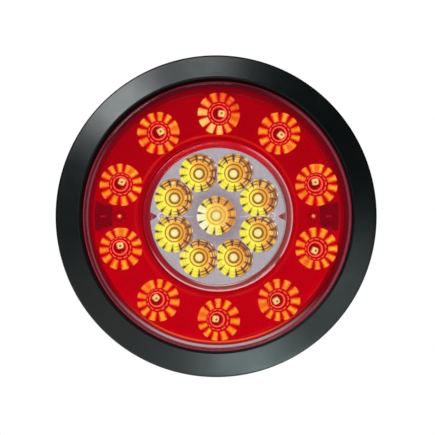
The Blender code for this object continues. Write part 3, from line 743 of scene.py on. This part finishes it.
def divider_tone(r, angle):
    """Painted light: white inside and red outside, for the light of each zone falling on it."""
    white = linear(170, 165, 175)
    return with_alpha(blended(white, tint(0.4, 0.002, 0.006), ease(r, 28.9, 29.2)), 1.0)


def build_divider():
    """A plain wall between the two zones with rounded lips."""
    corners = [(28.4, -8.1, 0.4), (29.8, -8.1, 0.4), (29.8, 3.7, 0.2), (28.4, 3.7, 0.2)]
    piece = turned("zone_divider_wall", softened(corners), 192, LILAC_PLATE, tone=divider_tone)
    return piece, ["light_divider"], "lilac_plate"


# Optics

PETALS = 12
PITCH = TURN / PETALS
OPTIC_BASE = -5.3
WELL_DEPTH = 2.2
RED_RADIUS = 8.5
CLEAR_RADIUS = 7.9
CENTRE_RADIUS = 8.0
CLEAR_REACH = CLEAR_CIRCLE * math.sin(math.pi / CLEAR_COUNT) - 0.15  # half way to the next one's rim
JOINED_SLOT = -PITCH / 2  # where each red optic lacks a slot
PETAL_START = math.radians(-95.3)  # from the way that a red optic faces to its first petal
PETAL_BEND = math.radians(8)
TURNED_OPTIC = 9
# The optic whose petals carry a painted highlight on one side and deeper painted shade on the other.
PALE_OPTIC = 1
DIODE_SHIFT = np.array((0.45, 0.06))  # makes up for the front's shift, which the sunk middle follows less


def optic_sides(radius):
    """The optic's flank behind its front: rim, shoulder, waist and neck, and the pocket over the diode."""
    return softened(
        [
            (radius, -6.9, 0.0),
            (radius, -6.5, 0.2),
            (0.84 * radius, -5.0, 0.8),
            (0.66 * radius, -1.6, 1.0),
            (3.6, 2.0, 0.5), (3.4, 2.2, 0.2), (2.4, 2.2, 0.2), (0.0, -1.2, 0.0),
        ],
        closed=False,
    )


def bent(angle, cast):
    """The angle from the first petal, plus a sine of itself that crowds the petals together on one side."""
    swept = angle - cast["turn"]
    return swept + cast["bend"] * np.sin(swept)


def petal_offset(r, angle, turn=0.0):
    """Distance in millimetres across a petal from its middle line, and the petal's number."""
    number = np.floor((angle - turn) / PITCH + 0.5)
    return r * np.abs(np.sin(angle - turn - number * PITCH)), number % PETALS


def scatter(number, seed):
    """A repeatable value from 0 to 1 for each whole number: the fraction of a large sine."""
    return np.modf(np.abs(np.sin(number * 12.9898 + seed * 78.233)) * 43758.5453)[0]


def petal_mask(r, angle, turn, inner, outer, soft, joined=None):
    """1 on the petals and 0 in the slots. A petal's half width grows from inner to outer over its length."""
    across, _ = petal_offset(r, angle, turn)
    half = inner + (outer - inner) * np.clip((r - 4.6) / 3.8, 0, 1)
    mask = 1 - ease(across, half - soft, half + soft)
    if joined is not None:
        off = np.abs((angle - joined + math.pi) % TURN - math.pi)
        mask = np.maximum(mask, 0.9 * (1 - ease(off, 0.12, 0.2)))
    return mask


def offset_radius(r, angle, shift):
    """Distance from a point beside the optic's middle."""
    return np.hypot(r * np.cos(angle) - shift[0], r * np.sin(angle) - shift[1])


def sunk(r):
    """How far the middle of an optic is sunk: a funnel between two radii."""
    return WELL_DEPTH * (1 - ease(r, 1.6, 4.5))


def red_optic_front(r, angle, cast):
    """Height over the base: a dome to one side, a round bead, a broken bead and twelve pillowed petals."""
    near = offset_radius(r, angle, cast["diode"])
    swept = bent(angle, cast)
    dome = 1.1 * np.sqrt(np.clip(1 - (near / 1.5) ** 2, 0, 1))
    dashes = petal_mask(r, swept, PITCH / 2, 0.7, 0.7, 0.12)
    beads = 0.75 * bead(r, 2.85, 0.5) + 0.55 * bead(r, 4.1, 0.35) * dashes
    rise = ease(r, 4.6, 5.0) * (1 - 0.7 * ease(r, 8.0, 8.5) ** 2)
    pillow = 0.9 + 1.1 * bead(r, 7.0, 3.6) + 0.04 * np.cos(TURN * r / 0.8)
    petals = petal_mask(r, swept, 0.0, 0.92, 1.5, 0.25, cast["joined"])
    return np.maximum(np.maximum(dome, beads), rise * (0.4 + (pillow - 0.3) * petals)) - sunk(r)


def square_radius(r, angle, shift, tilt):
    """Like a distance from a point beside the middle, but square with round corners: a fourth-power mean."""
    x = r * np.cos(angle) - shift[0]
    z = r * np.sin(angle) - shift[1]
    across = x * math.cos(tilt) + z * math.sin(tilt)
    along = z * math.cos(tilt) - x * math.sin(tilt)
    return (across**4 + along**4) ** 0.25


def red_optic_tone(r, angle, cast):
    """Petals from orange edges to a streaked yellow middle, pink beads, and a pale dome with a dark dot. The
    yellow middle is the lit petal's glow with a painted highlight. Painted shade darkens one side of the
    petals, the grooves and the well round the dome, and on one optic a painted highlight pales the other
    side.
    """
    near = square_radius(r, angle, cast["diode"], cast["turn"])
    dot = offset_radius(r, angle, cast["dot"])
    bend = bent(angle, cast)
    across, number = petal_offset(r, bend)
    luck = scatter(number, cast["seed"])
    streak = scatter(np.floor(across / 0.3) + 7 * number, cast["seed"] + 1)
    row = scatter(np.floor(r / 0.5) + 5 * number, cast["seed"] + 2)
    core = (1 - ease(across, 0.15, 0.95)) * bead(r, 6.4, 2.8)
    apart = 0.35 + 0.65 * ease(np.abs((bend - cast["joined"] + math.pi) % TURN - math.pi), 0.12, 0.26)
    # facing is 1 on the side laid in painted shade, and -1 on the side that the pale optic paints with a
    # painted highlight.
    facing = np.cos(angle - cast["shade"])
    petal = layered(
        tint(1.0, 0.24, 0.015),
        (tint(1.1, 0.62, 0.05), core * (0.45 + 0.55 * luck) * (0.6 + 0.4 * streak)),
        (tint(0.50, 0.12, 0.004), 0.75 * (1 - streak) * row * bead(r, 6.2, 2.2)),
        (tint(0.78, 0.070, 0.004), apart * ease(across, 0.4, 1.05) * (1 - 0.3 * ease(r, 7.2, 8.2))),
        (tint(1.1, 0.44, 0.10), 0.55 * bead(r, 8.1, 0.8) * (0.4 + 0.6 * luck) * (1 - ease(across, 0.8, 1.3))),
        (tint(0.80, 0.13, 0.01), 0.6 * (1 - ease(r, 4.9, 5.9))),
        (tint(0.62, 0.05, 0.012), cast["dim"] * ease(facing, -0.1, 0.9) * (0.55 + 0.45 * row)),
        (tint(1.0, 0.78, 0.24), cast["pale"] * ease(-facing, 0.0, 0.9) * (0.5 + 0.5 * row)),
    )
    mask = petal_mask(r, bend, 0.0, 0.85, 1.36, 0.2, cast["joined"])
    dashes = petal_mask(r, bend, PITCH / 2, 0.72, 0.72, 0.15)
    pink = tint(1.15, 0.16, 0.08)
    groove = tint(0.10, 0.001, 0.002)
    # groove and the near black middle are painted shade in the grooves and in the sunk well.
    return layered(
        tint(0.48, 0.001, 0.003),
        (tint(0.42, 0.002, 0.001), ease(r, 4.6, 5.0)),
        (groove, 0.9 * bead(r, 4.65, 0.22)),
        (petal, mask * ease(r, 4.75, 5.05)),
        (pink, 0.8 * bead(r, 4.12, 0.34) * dashes),
        (groove, 0.95 * bead(r, 3.52, 0.24)),
        (pink, bead(r, 2.85, 0.4)),
        (tint(0.13, 0.001, 0.002), 1 - ease(r, 2.25, 2.55)),
        (tint(0.80, 0.30, 0.13), 1 - ease(near, 1.25, 1.5)),
        (tint(0.90, 0.74, 0.25), 1 - ease(near, 0.95, 1.2)),
        (tint(0.14, 0.07, 0.01), 0.9 * (1 - ease(dot, 0.3, 0.75))),
    )


def terraces(r):
    """Three low steps along a petal, as a smoothed saw from 0 to 1."""
    part = np.modf(np.clip(r - 4.5, 0, None) / 1.13)[0]
    return ease(part, 0.0, 0.45) * (1 - ease(part, 0.55, 1.0))


def clear_optic_front(r, angle, cast):
    """Height over the base: a dome, two round beads and twelve petals cut into low terraces."""
    near = offset_radius(r, angle, cast["diode"])
    dome = 1.1 * np.sqrt(np.clip(1 - (near / 1.6) ** 2, 0, 1))
    beads = 0.8 * bead(r, 3.0, 0.6) + 0.9 * bead(r, 4.1, 0.45)
    rise = ease(r, 4.3, 4.7) * (1 - 0.7 * ease(r, 7.5, 7.9) ** 2)
    pillow = 0.9 + 0.95 * bead(r, 6.3, 3.0) + 0.16 * terraces(r)
    petals = petal_mask(r, bent(angle, cast), 0.0, 1.0, 1.62, 0.25)
    return np.maximum(np.maximum(dome, beads), rise * (0.5 + (pillow - 0.35) * petals)) - sunk(r)


def clear_optic_tone(r, angle, cast):
    """Painted light and shade: bright yellow petals on the painted lit side turn golden, then brown, on the
    other, with painted shade in the slots. The shaded side has painted shade in its terraces, painted glints
    and a painted purple reflection. A painted flare lights the middle optic, a painted highlight runs round
    the rim and painted shade darkens the well.
    """
    near = offset_radius(r, angle, cast["diode"])
    bend = bent(angle, cast)
    across, number = petal_offset(r, bend)
    luck = scatter(number, cast["seed"])
    row = scatter(np.floor(r / 0.39) + 5 * number, cast["seed"] + 2)
    # side is 1 on the painted lit side and -1 on the painted shaded side.
    side = np.cos(angle - cast["lit"]) + 0.5 * (luck - 0.5)
    gold = linear(244, 160, 24)
    deep = linear(66, 30, 2)
    shaded = (1 - terraces(r)) * (1 - 0.82 * ease(side, -0.1, 0.7))
    spark = (row > 0.62) * (1 - ease(across, 0.5, 1.2)) * ease(-side, -0.1, 0.5)
    petal = layered(
        gold,
        (linear(255, 244, 70), ease(side, -0.3, 0.5)),
        (linear(168, 84, 36), (0.6 + 0.4 * luck) * ease(-side, 0.1, 0.8)),
        (gold * 0.8, 0.5 * ease(across, 0.7, 1.4)),
        (linear(66, 24, 6), shaded * ease(r, 5.0, 5.3) * (0.8 + 0.2 * row)),
        (linear(255, 214, 110), 0.75 * spark),
        (linear(180, 138, 150), 0.7 * luck * row * ease(-side, 0.4, 0.9) * ease(r, 6.4, 7.0)),
        (linear(255, 250, 214), cast["flare"] * ease(side, 0.4, 1.1)),
        (linear(246, 158, 24), 0.6 * cast["flare"] * ease(-side, 0.0, 0.5)),
    )
    ring = blended(linear(236, 160, 30), linear(255, 226, 70), ease(side, -0.6, 0.5))
    halo = (1 - ease(r, 4.2, 5.2)) * ease(near, 1.2, 1.5)
    glint = luck * ease(-side, 0.55, 0.85) * bead(r, 7.45, 0.4) * (1 - ease(across, 0.3, 0.8)) * (row > 0.3)
    return layered(
        deep,
        (linear(110, 58, 40), ease(-side, 0.2, 0.9)),
        (linear(196, 168, 24), 0.8 * ease(side, 0.0, 0.8) * (1 - ease(r, 5.6, 6.6))),
        (petal, petal_mask(r, bend, 0.0, 1.0, 1.62, 0.17)),
        (ring, 1 - ease(r, 4.35, 4.6)),
        (deep, 0.95 * bead(r, 3.6, 0.36)),
        (ring, 0.95 * bead(r, 2.98, 0.46)),
        (linear(120, 66, 8), 0.95 * (1 - ease(r, 2.3, 2.55))),
        (linear(226, 190, 60), 1 - ease(near, 1.5, 1.8)),
        (linear(255, 244, 178), 1 - ease(near, 1.2, 1.45)),
        (linear(232, 196, 90), 0.6 * bead(near, 0.8, 0.22)),
        (linear(255, 214, 104), 0.55 * cast["flare"] * halo),
        (linear(255, 250, 250), np.minimum(1.0, 2.2 * glint)),
        (linear(214, 200, 190), 0.6 * bead(r, 7.85, 0.25)),
    )


def fluted_optic(name, place, radius, kind, cast, reach=None):
    """One moulded optic: the front's height over a polar grid, then the flank's profile, between two poles.

    kind has the radius that the front and tone are drawn for, both of these, and the finish. The cast's
    lean slides the middle of the front sideways, its shift slides the front against the base, and with a
    reach the rim is trimmed flat half way to the neighbours in its ring.
    """
    full, front, tone, material = kind
    scale = radius / full
    grid = np.concatenate([np.linspace(0, 1.9, 10), np.linspace(2.0, full, 50)])
    flank = optic_sides(radius)
    angle = around(192)[None, :]
    rows = grid[:, None] + 0 * angle
    swept = angle + 0 * rows
    depth = np.concatenate([OPTIC_BASE - front(rows, swept, cast), flank[:, 1][:, None] + 0 * angle])
    slots = 1 - petal_mask(full, bent(angle, cast), 0.0, 1.0, 1.4, 0.35, cast["joined"])
    scallop = 1 - 0.02 * slots * ease(rows, full - 1.0, full)
    all_radius = np.concatenate([rows * scale * scallop, flank[:, 0][:, None] * (1 - 0.02 * slots)])
    lean = np.concatenate([1 - ease(rows, 2.4, 6.6), np.zeros_like(all_radius[len(grid) :])])
    x = all_radius * np.cos(angle) + cast["lean"][0] * lean
    z = all_radius * np.sin(angle) + cast["lean"][1] * lean
    raised = ease(-depth, 1.6, 6.0)
    x = x + cast["shift"][0] * raised
    z = z + cast["shift"][1] * raised
    if reach is not None:
        facing = math.atan2(place[1], place[0])
        for sign in (-1, 1):
            way = facing + sign * (math.pi / 2 + math.pi / CLEAR_COUNT)
            past = np.maximum(x * math.cos(way) + z * math.sin(way) - reach, 0)
            x = x - past * math.cos(way)
            z = z - past * math.sin(way)
    points = np.stack([place[0] + x, depth, place[1] + z], -1) * MM
    sample = np.concatenate([rows, np.full((len(flank), angle.size), full)])
    colour = tone(sample, angle + 0 * sample, cast)
    # The flank is painted at half the front's colour, as painted shade.
    shade = np.concatenate([np.ones(len(grid)), np.full(len(flank), 0.5)])
    return skin(name, points, False, material, with_alpha(colour * shade[:, None, None], 1.0))


def red_cast(number, x, z):
    """How one red optic is turned: its petals, joined slot and diode follow the way that it faces.

    One is fitted the other way round. The middle slides clockwise round the lamp, and the diode further.
    """
    facing = math.atan2(z, x) + (math.pi if number == TURNED_OPTIC else 0)
    clockwise = np.array((math.sin(facing), -math.cos(facing)))
    outward = np.array((math.cos(facing), math.sin(facing)))
    return {
        "turn": facing + PETAL_START,
        "bend": PETAL_BEND,
        "joined": JOINED_SLOT,
        "diode": 0.72 * clockwise - 0.1 * outward + DIODE_SHIFT,
        "dot": 0.60 * clockwise + 0.12 * outward + DIODE_SHIFT,
        "lean": 0.45 * clockwise,
        "shift": (0.55, -0.15),
        "seed": number,
        # dim and shade lay painted shade on the side that shade faces, deepest on the pale optic, and pale
        # lays a painted highlight on that optic's other side.
        "dim": 0.85 if number == PALE_OPTIC else 0.2,
        "pale": 0.85 if number == PALE_OPTIC else 0.0,
        "shade": math.radians(40) if number == PALE_OPTIC else math.radians(200),
    }


def clear_cast(number, x, z, flare=0.0):
    """How one clear optic is turned: its middle leans towards the lamp's axis, and painted light falls on its
    left side, with a painted flare where flare is given.
    """
    return {
        "turn": math.radians(number * 7 + 4),
        "bend": 0.0,
        "joined": None,
        "diode": (-0.05, 0.05),
        "lean": (-0.1 - 0.018 * x, 0.1 - 0.018 * z),
        "shift": (-0.4, 0.35),
        "seed": 20 + number,
        "lit": math.radians(205),
        "flare": flare,
    }


RED_KIND = (RED_RADIUS, red_optic_front, red_optic_tone, LIT_AMBER)
CLEAR_KIND = (CLEAR_RADIUS, clear_optic_front, clear_optic_tone, LIT_GOLD)


def build_optics():
    """Every optic in its place: ten red, eight clear and the middle one."""
    made = []
    for number, place in enumerate(on_circle(RED_CIRCLE, RED_COUNT, math.pi / 2), 1):
        name = f"fluted_red_optic_{number:02d}"
        piece = fluted_optic(name, place, RED_RADIUS, RED_KIND, red_cast(number, *place))
        made.append((piece, [f"red_optic_{number:02d}"], "orange_optic"))
    for number, place in enumerate(on_circle(CLEAR_CIRCLE, CLEAR_COUNT, math.pi / CLEAR_COUNT), 1):
        name = f"fluted_clear_optic_{number:02d}"
        cast = clear_cast(number, *place)
        piece = fluted_optic(name, place, CLEAR_RADIUS, CLEAR_KIND, cast, CLEAR_REACH)
        made.append((piece, [f"clear_optic_{number:02d}"], "gold_optic"))
    cast = clear_cast(CLEAR_COUNT + 1, 0.0, 0.0, 0.85)
    piece = fluted_optic("fluted_middle_optic", (0.0, 0.0), CENTRE_RADIUS, CLEAR_KIND, cast)
    made.append((piece, ["centre_optic"], "gold_optic"))
    return made


# Screws and posts


def cross_recess(x, z, half, arm):
    """1 inside a cross of two bars of half width arm and half length half."""
    across = (1 - ease(np.abs(x), arm * 0.8, arm * 1.2)) * (1 - ease(np.abs(z), half * 0.85, half))
    along = (1 - ease(np.abs(z), arm * 0.8, arm * 1.2)) * (1 - ease(np.abs(x), half * 0.85, half))
    return np.maximum(across, along)


def pan_screw(name, x, node):
    """A pan head with a cross recess: rows over the head, then its edge and shank."""
    rows = SCREW_HEAD_ROWS
    tail = softened(
        [(2.4, -2.9, 0), (2.7, -2.6, 0.2), (2.7, -1.5, 0.1), (1.3, -1.5, 0.1), (1.3, 11.7, 0.3), (0, 13, 0)],
        closed=False,
    )
    outline = np.concatenate([np.stack([np.linspace(0, 2.4, rows), np.full(rows, -2.9)], 1), tail[1:]])
    radius, depth, angle = spun(outline, 96)
    across, up = radius * np.cos(angle), radius * np.sin(angle)
    head = depth[:rows] + 0.9 * cross_recess(across[:rows], up[:rows], 1.5, 0.32)
    depth[:rows] = head + 0.12 * (radius[:rows] / 2.4) ** 2
    points = polar(radius * MM, depth * MM, angle, (x * MM, 0.0))
    # Painted light: a brighter red middle and a painted glint just above the middle of the recess, over a
    # darker red rim.
    colour = blended(tint(0.9, 0.10, 0.05), tint(0.30, 0.0005, 0.004), ease(radius, 0.5, 1.3))
    colour = blended(tint(1.4, 0.95, 0.45), colour, ease(np.hypot(across, up - 0.1), 0.3, 0.6))
    piece = skin(name, points, False, RED_GLOWING_STEEL, with_alpha(colour, 1.0))
    return piece, [node], "screw_steel"


def post_tone(r, angle):
    """Whitish, for clear plastic: painted highlights on the rim and in the middle, with a darker ring between
    them.
    """
    colour = np.zeros(r.shape)[..., None] + linear(246, 238, 240)
    return with_alpha(blended(colour, linear(140, 112, 118), 0.85 * bead(r, 0.85, 0.3)), 1.0)


def build_posts():
    """The two round posts of the lilac plate: a rounded top on a slightly tapered stem."""
    corners = [(0.0, -3.0, 0.0), (1.35, -3.0, 0.5), (1.5, -1.0, 0.2), (1.5, 3.7, 0.3), (0.0, 3.7, 0.0)]
    outline = softened(corners, closed=False)
    made = []
    for side, sign in SIDES:
        piece = turned(f"clear_post_{side}", outline, 48, LILAC_PLATE, sign * 22.3, False, post_tone)
        made.append((piece, ["centre_zone_plate"], "lilac_plate"))
    return made


def build_tabs():
    """The two tabs of the joint ring: rounded wedges that narrow inwards behind the clear lens."""
    ends = (1.2, 0.95, 0.3, -8.68), (1.3, 1.0, 0.3, -8.02)
    sections = [ends[0], (1.45, 1.15, 0.4, -8.55), (1.45, 1.15, 0.4, -8.15), ends[1]]
    dark_red = (0.30, 0.004, 0.014, 1.0)
    made = []
    for side, sign in SIDES:
        place = (sign * 26.1, 0.0)
        piece = lofted_box(f"joint_tab_{side}", sections, RED_PLATE, place, dark_red, 0.65 * sign)
        made.append((piece, ["lens_joint_ring"], "pink_joint"))
    return made


def build_pocket_ribs():
    """The short red rib that shows in each pocket, a rounded bar standing on the pocket's floor."""
    ends = (0.9, 0.15, 0.1, -1.1), (1.0, 0.3, 0.2, -0.1)
    sections = [ends[0], (1.15, 0.35, 0.2, -0.95), (1.15, 0.4, 0.2, -0.2), ends[1]]
    red = (0.6, 0.01, 0.02, 1.0)
    made = []
    for side, sign in SIDES:
        piece = lofted_box(f"pocket_rib_{side}", sections, RED_PLATE, (sign * 45.8, 0.0), red)
        made.append((piece, ["red_zone_plate"], "red_plate"))
    return made


# Connector and vent


def build_socket():
    """Rounded rectangles lofted along Y: the plug in the housing, the flange, the shroud and its cavity."""
    rows = [
        (12.4, 6.4, 0.8, 16.0), (12.6, 6.6, 1.0, 16.3), (12.6, 6.6, 1.0, 22.3), (17.7, 9.7, 2.2, 22.3),
        (18.0, 10.0, 2.4, 22.6), (18.0, 10.0, 2.4, 24.0), (17.7, 9.7, 2.2, 24.3),
        (15.3, 9.3, 1.6, 24.3), (15.0, 9.0, 1.5, 24.7), (15.0, 9.0, 1.5, 30.4), (15.0, 9.0, 1.5, 33.6),
        (14.7, 8.7, 1.4, 34.0), (13.3, 7.3, 1.0, 34.0), (13.0, 7.0, 0.9, 33.7), (13.0, 7.0, 0.9, 25.8),
        (12.8, 6.8, 0.8, 25.6),
    ]
    socket = lofted_box("keyed_socket", rows, BLACK_PLASTIC)
    rib_rows = [(2.8, 0.6, 0.2, 24.2), (3.0, 0.7, 0.25, 24.5), (3.0, 0.7, 0.25, 32.3), (2.8, 0.5, 0.2, 32.6)]
    rib = lofted_box("socket_key_rib", rib_rows, BLACK_PLASTIC, (0.0, 9.0))
    return [(socket, ["connector_socket"], "black_plastic"), (rib, ["connector_socket"], "black_plastic")]


def build_blades():
    """The four blades: a plain bar that tapers over its last millimetre."""
    rows = [
        (1.3, 0.35, 0.05, 5.9), (1.4, 0.4, 0.08, 6.1), (1.4, 0.4, 0.08, 30.4),
        (1.15, 0.22, 0.08, 31.3), (0.95, 0.12, 0.05, 31.6),
    ]
    made = []
    for count, name in enumerate(("earth", "tail", "stop", "indicator")):
        blade = lofted_box(f"blade_{name}", rows, BLADE_BRASS, ((count - 1.5) * 6.0, 0.0))
        made.append((blade, [f"terminal_{name}"], "tinned_brass"))
    return made


def build_vent_cap():
    """A round cap whose top has six radial slots and a ring groove, over a hollow underside."""
    rows = VENT_TOP_ROWS
    rest = softened(
        [(5.4, 24.7, 0), (6, 24.2, 0.3), (6, 22.3, 0.1), (4.4, 22.3, 0.1), (4.4, 23.7, 0.2), (0, 23.7, 0)],
        closed=False,
    )
    outline = np.concatenate([np.stack([np.linspace(0, 5.4, rows), np.full(rows, 24.7)], 1), rest[1:]])
    radius, depth, angle = spun(outline, 144)
    top = radius[:rows]
    across = top * np.abs(np.sin(3 * angle[:rows])) / 3
    slots = (1 - ease(across, 0.25, 0.45)) * ease(top, 2.4, 2.8) * (1 - ease(top, 4.6, 5.0))
    depth[:rows] -= 0.5 * slots + 0.3 * bead(top, 1.6, 0.4)
    place = (VENT_PLACE[0] * MM, VENT_PLACE[1] * MM)
    piece = skin("slotted_vent_cap", polar(radius * MM, depth * MM, angle, place), False, BLACK_PLASTIC)
    return piece, ["vent_cap"], "black_plastic"


# Stage


SEA_GREEN = (0.76, 1.0, 0.99)


def add_area(name, towards, distance, size, power, colour=(0.94, 1.0, 1.0)):
    """A square or oblong soft light at a distance along a direction from the lamp, aimed at it."""
    light = bpy.data.lights.new(name, "AREA")
    light.shape = "RECTANGLE"
    light.size, light.size_y = size
    light.energy = power
    light.color = colour
    holder = bpy.data.objects.new(name, light)
    direction = Vector(towards).normalized()
    holder.location = direction * distance
    holder.rotation_mode = "QUATERNION"
    holder.rotation_quaternion = direction.to_track_quat("Z", "Y")
    bpy.context.scene.collection.objects.link(holder)


def build_stage():
    """A pale floor well below, a world that is white to the camera and dim to the lamp, and five lights."""
    floor_mesh = bpy.data.meshes.new("studio_floor")
    reach = 3.0
    low = -0.9
    corners = [(-reach, -reach, low), (reach, -reach, low), (reach, reach, low), (-reach, reach, low)]
    floor_mesh.from_pydata(corners, [], [(0, 1, 2, 3)])
    floor = bpy.data.objects.new("studio_floor", floor_mesh)
    bpy.context.scene.collection.objects.link(floor)
    paint = Recipe("pale_floor")
    paint.set(Base_Color=(0.8, 0.8, 0.8, 1), Roughness=0.7)
    paint.set(Emission_Color=(1, 1, 1, 1), Emission_Strength=0.4)
    floor_mesh.materials.append(paint.material)

    world = bpy.data.worlds.new("studio")
    world.use_nodes = True
    bpy.context.scene.world = world
    tree = world.node_tree
    backdrop = tree.nodes["Background"]
    backdrop.inputs["Color"].default_value = (1, 1, 1, 1)
    backdrop.inputs["Strength"].default_value = 1.0
    dim = tree.nodes.new("ShaderNodeBackground")
    dim.inputs["Color"].default_value = (0.95, 1.0, 0.99, 1)
    dim.inputs["Strength"].default_value = 0.03
    rays = tree.nodes.new("ShaderNodeLightPath")
    mix = tree.nodes.new("ShaderNodeMixShader")
    tree.links.new(rays.outputs["Is Camera Ray"], mix.inputs["Fac"])
    tree.links.new(dim.outputs["Background"], mix.inputs[1])
    tree.links.new(backdrop.outputs["Background"], mix.inputs[2])
    tree.links.new(mix.outputs["Shader"], tree.nodes["World Output"].inputs["Surface"])

    add_area("key_upper_left", (-0.62, -0.36, 0.80), 1.0, (0.56, 0.4), 7.6)
    add_area("overhead", (0.0, -0.42, 0.95), 1.1, (0.36, 0.3), 2.2)
    add_area("low_front", (0.30, -0.35, -0.9), 0.8, (0.62, 0.2), 2.6, SEA_GREEN)
    add_area("right_fill", (0.82, -0.42, -0.34), 1.0, (0.3, 0.6), 0.8, SEA_GREEN)
    add_area("side_fill", (-0.8, -0.9, 0.1), 1.5, (0.5, 0.5), 1.2, (0.70, 1.0, 1.0))


def build_camera():
    """A long lens a little left of the axis and above it, framed on the whole lamp."""
    distance = 1.2
    width = 175.8 * MM
    azimuth = math.radians(-4.2)
    elevation = math.radians(0.5)
    aim = Vector((0.36, -1.5, -0.49)) * MM
    level = math.cos(elevation)
    back = Vector((math.sin(azimuth) * level, -math.cos(azimuth) * level, math.sin(elevation)))
    lens = bpy.data.cameras.new("studio_camera")
    lens.sensor_width = 36.0
    lens.lens = 36.0 * distance / width
    lens.clip_end = 50
    camera = bpy.data.objects.new("studio_camera", lens)
    camera.location = aim + back * distance
    camera.rotation_mode = "QUATERNION"
    camera.rotation_quaternion = back.to_track_quat("Z", "Y")
    bpy.context.scene.collection.objects.link(camera)
    bpy.context.scene.camera = camera
    bpy.context.scene.view_settings.view_transform = "Standard"


KEPT_NODES = {
    "circuit_board": BOARD_LAMINATE,
    "lens_seal": SEAL_RUBBER,
    "vent_membrane": VENT_FELT,
    "smoothing_capacitor": CAN_ALUMINIUM,
    "tail_driver": CHIP_EPOXY,
    "indicator_driver": CHIP_EPOXY,
}


def dress_kept_nodes():
    """Gives the CAD pieces that stay hidden inside the lamp their own finishes."""
    for name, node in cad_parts.items():
        finish = DIODE_RESIN if "diode" in name else KEPT_NODES.get(name)
        if finish:
            node.data.materials.clear()
            node.data.materials.append(finish)


def main():
    build_camera()
    build_stage()
    made = [
        build_grommet(),
        build_housing(),
        build_red_lens(),
        build_clear_lens(),
        build_joint_ring(),
        build_red_plate(),
        build_bowl(),
        build_lilac_plate(),
        build_divider(),
        pan_screw("plate_screw_head_left", -39.3, "plate_screw_left"),
        pan_screw("plate_screw_head_right", 39.3, "plate_screw_right"),
        build_vent_cap(),
        *build_optics(),
        *build_posts(),
        *build_tabs(),
        *build_pocket_ribs(),
        *build_socket(),
        *build_blades(),
    ]
    for piece, nodes, slot in made:
        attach(piece, "root")
        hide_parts(*nodes)
    dress_kept_nodes()


main()
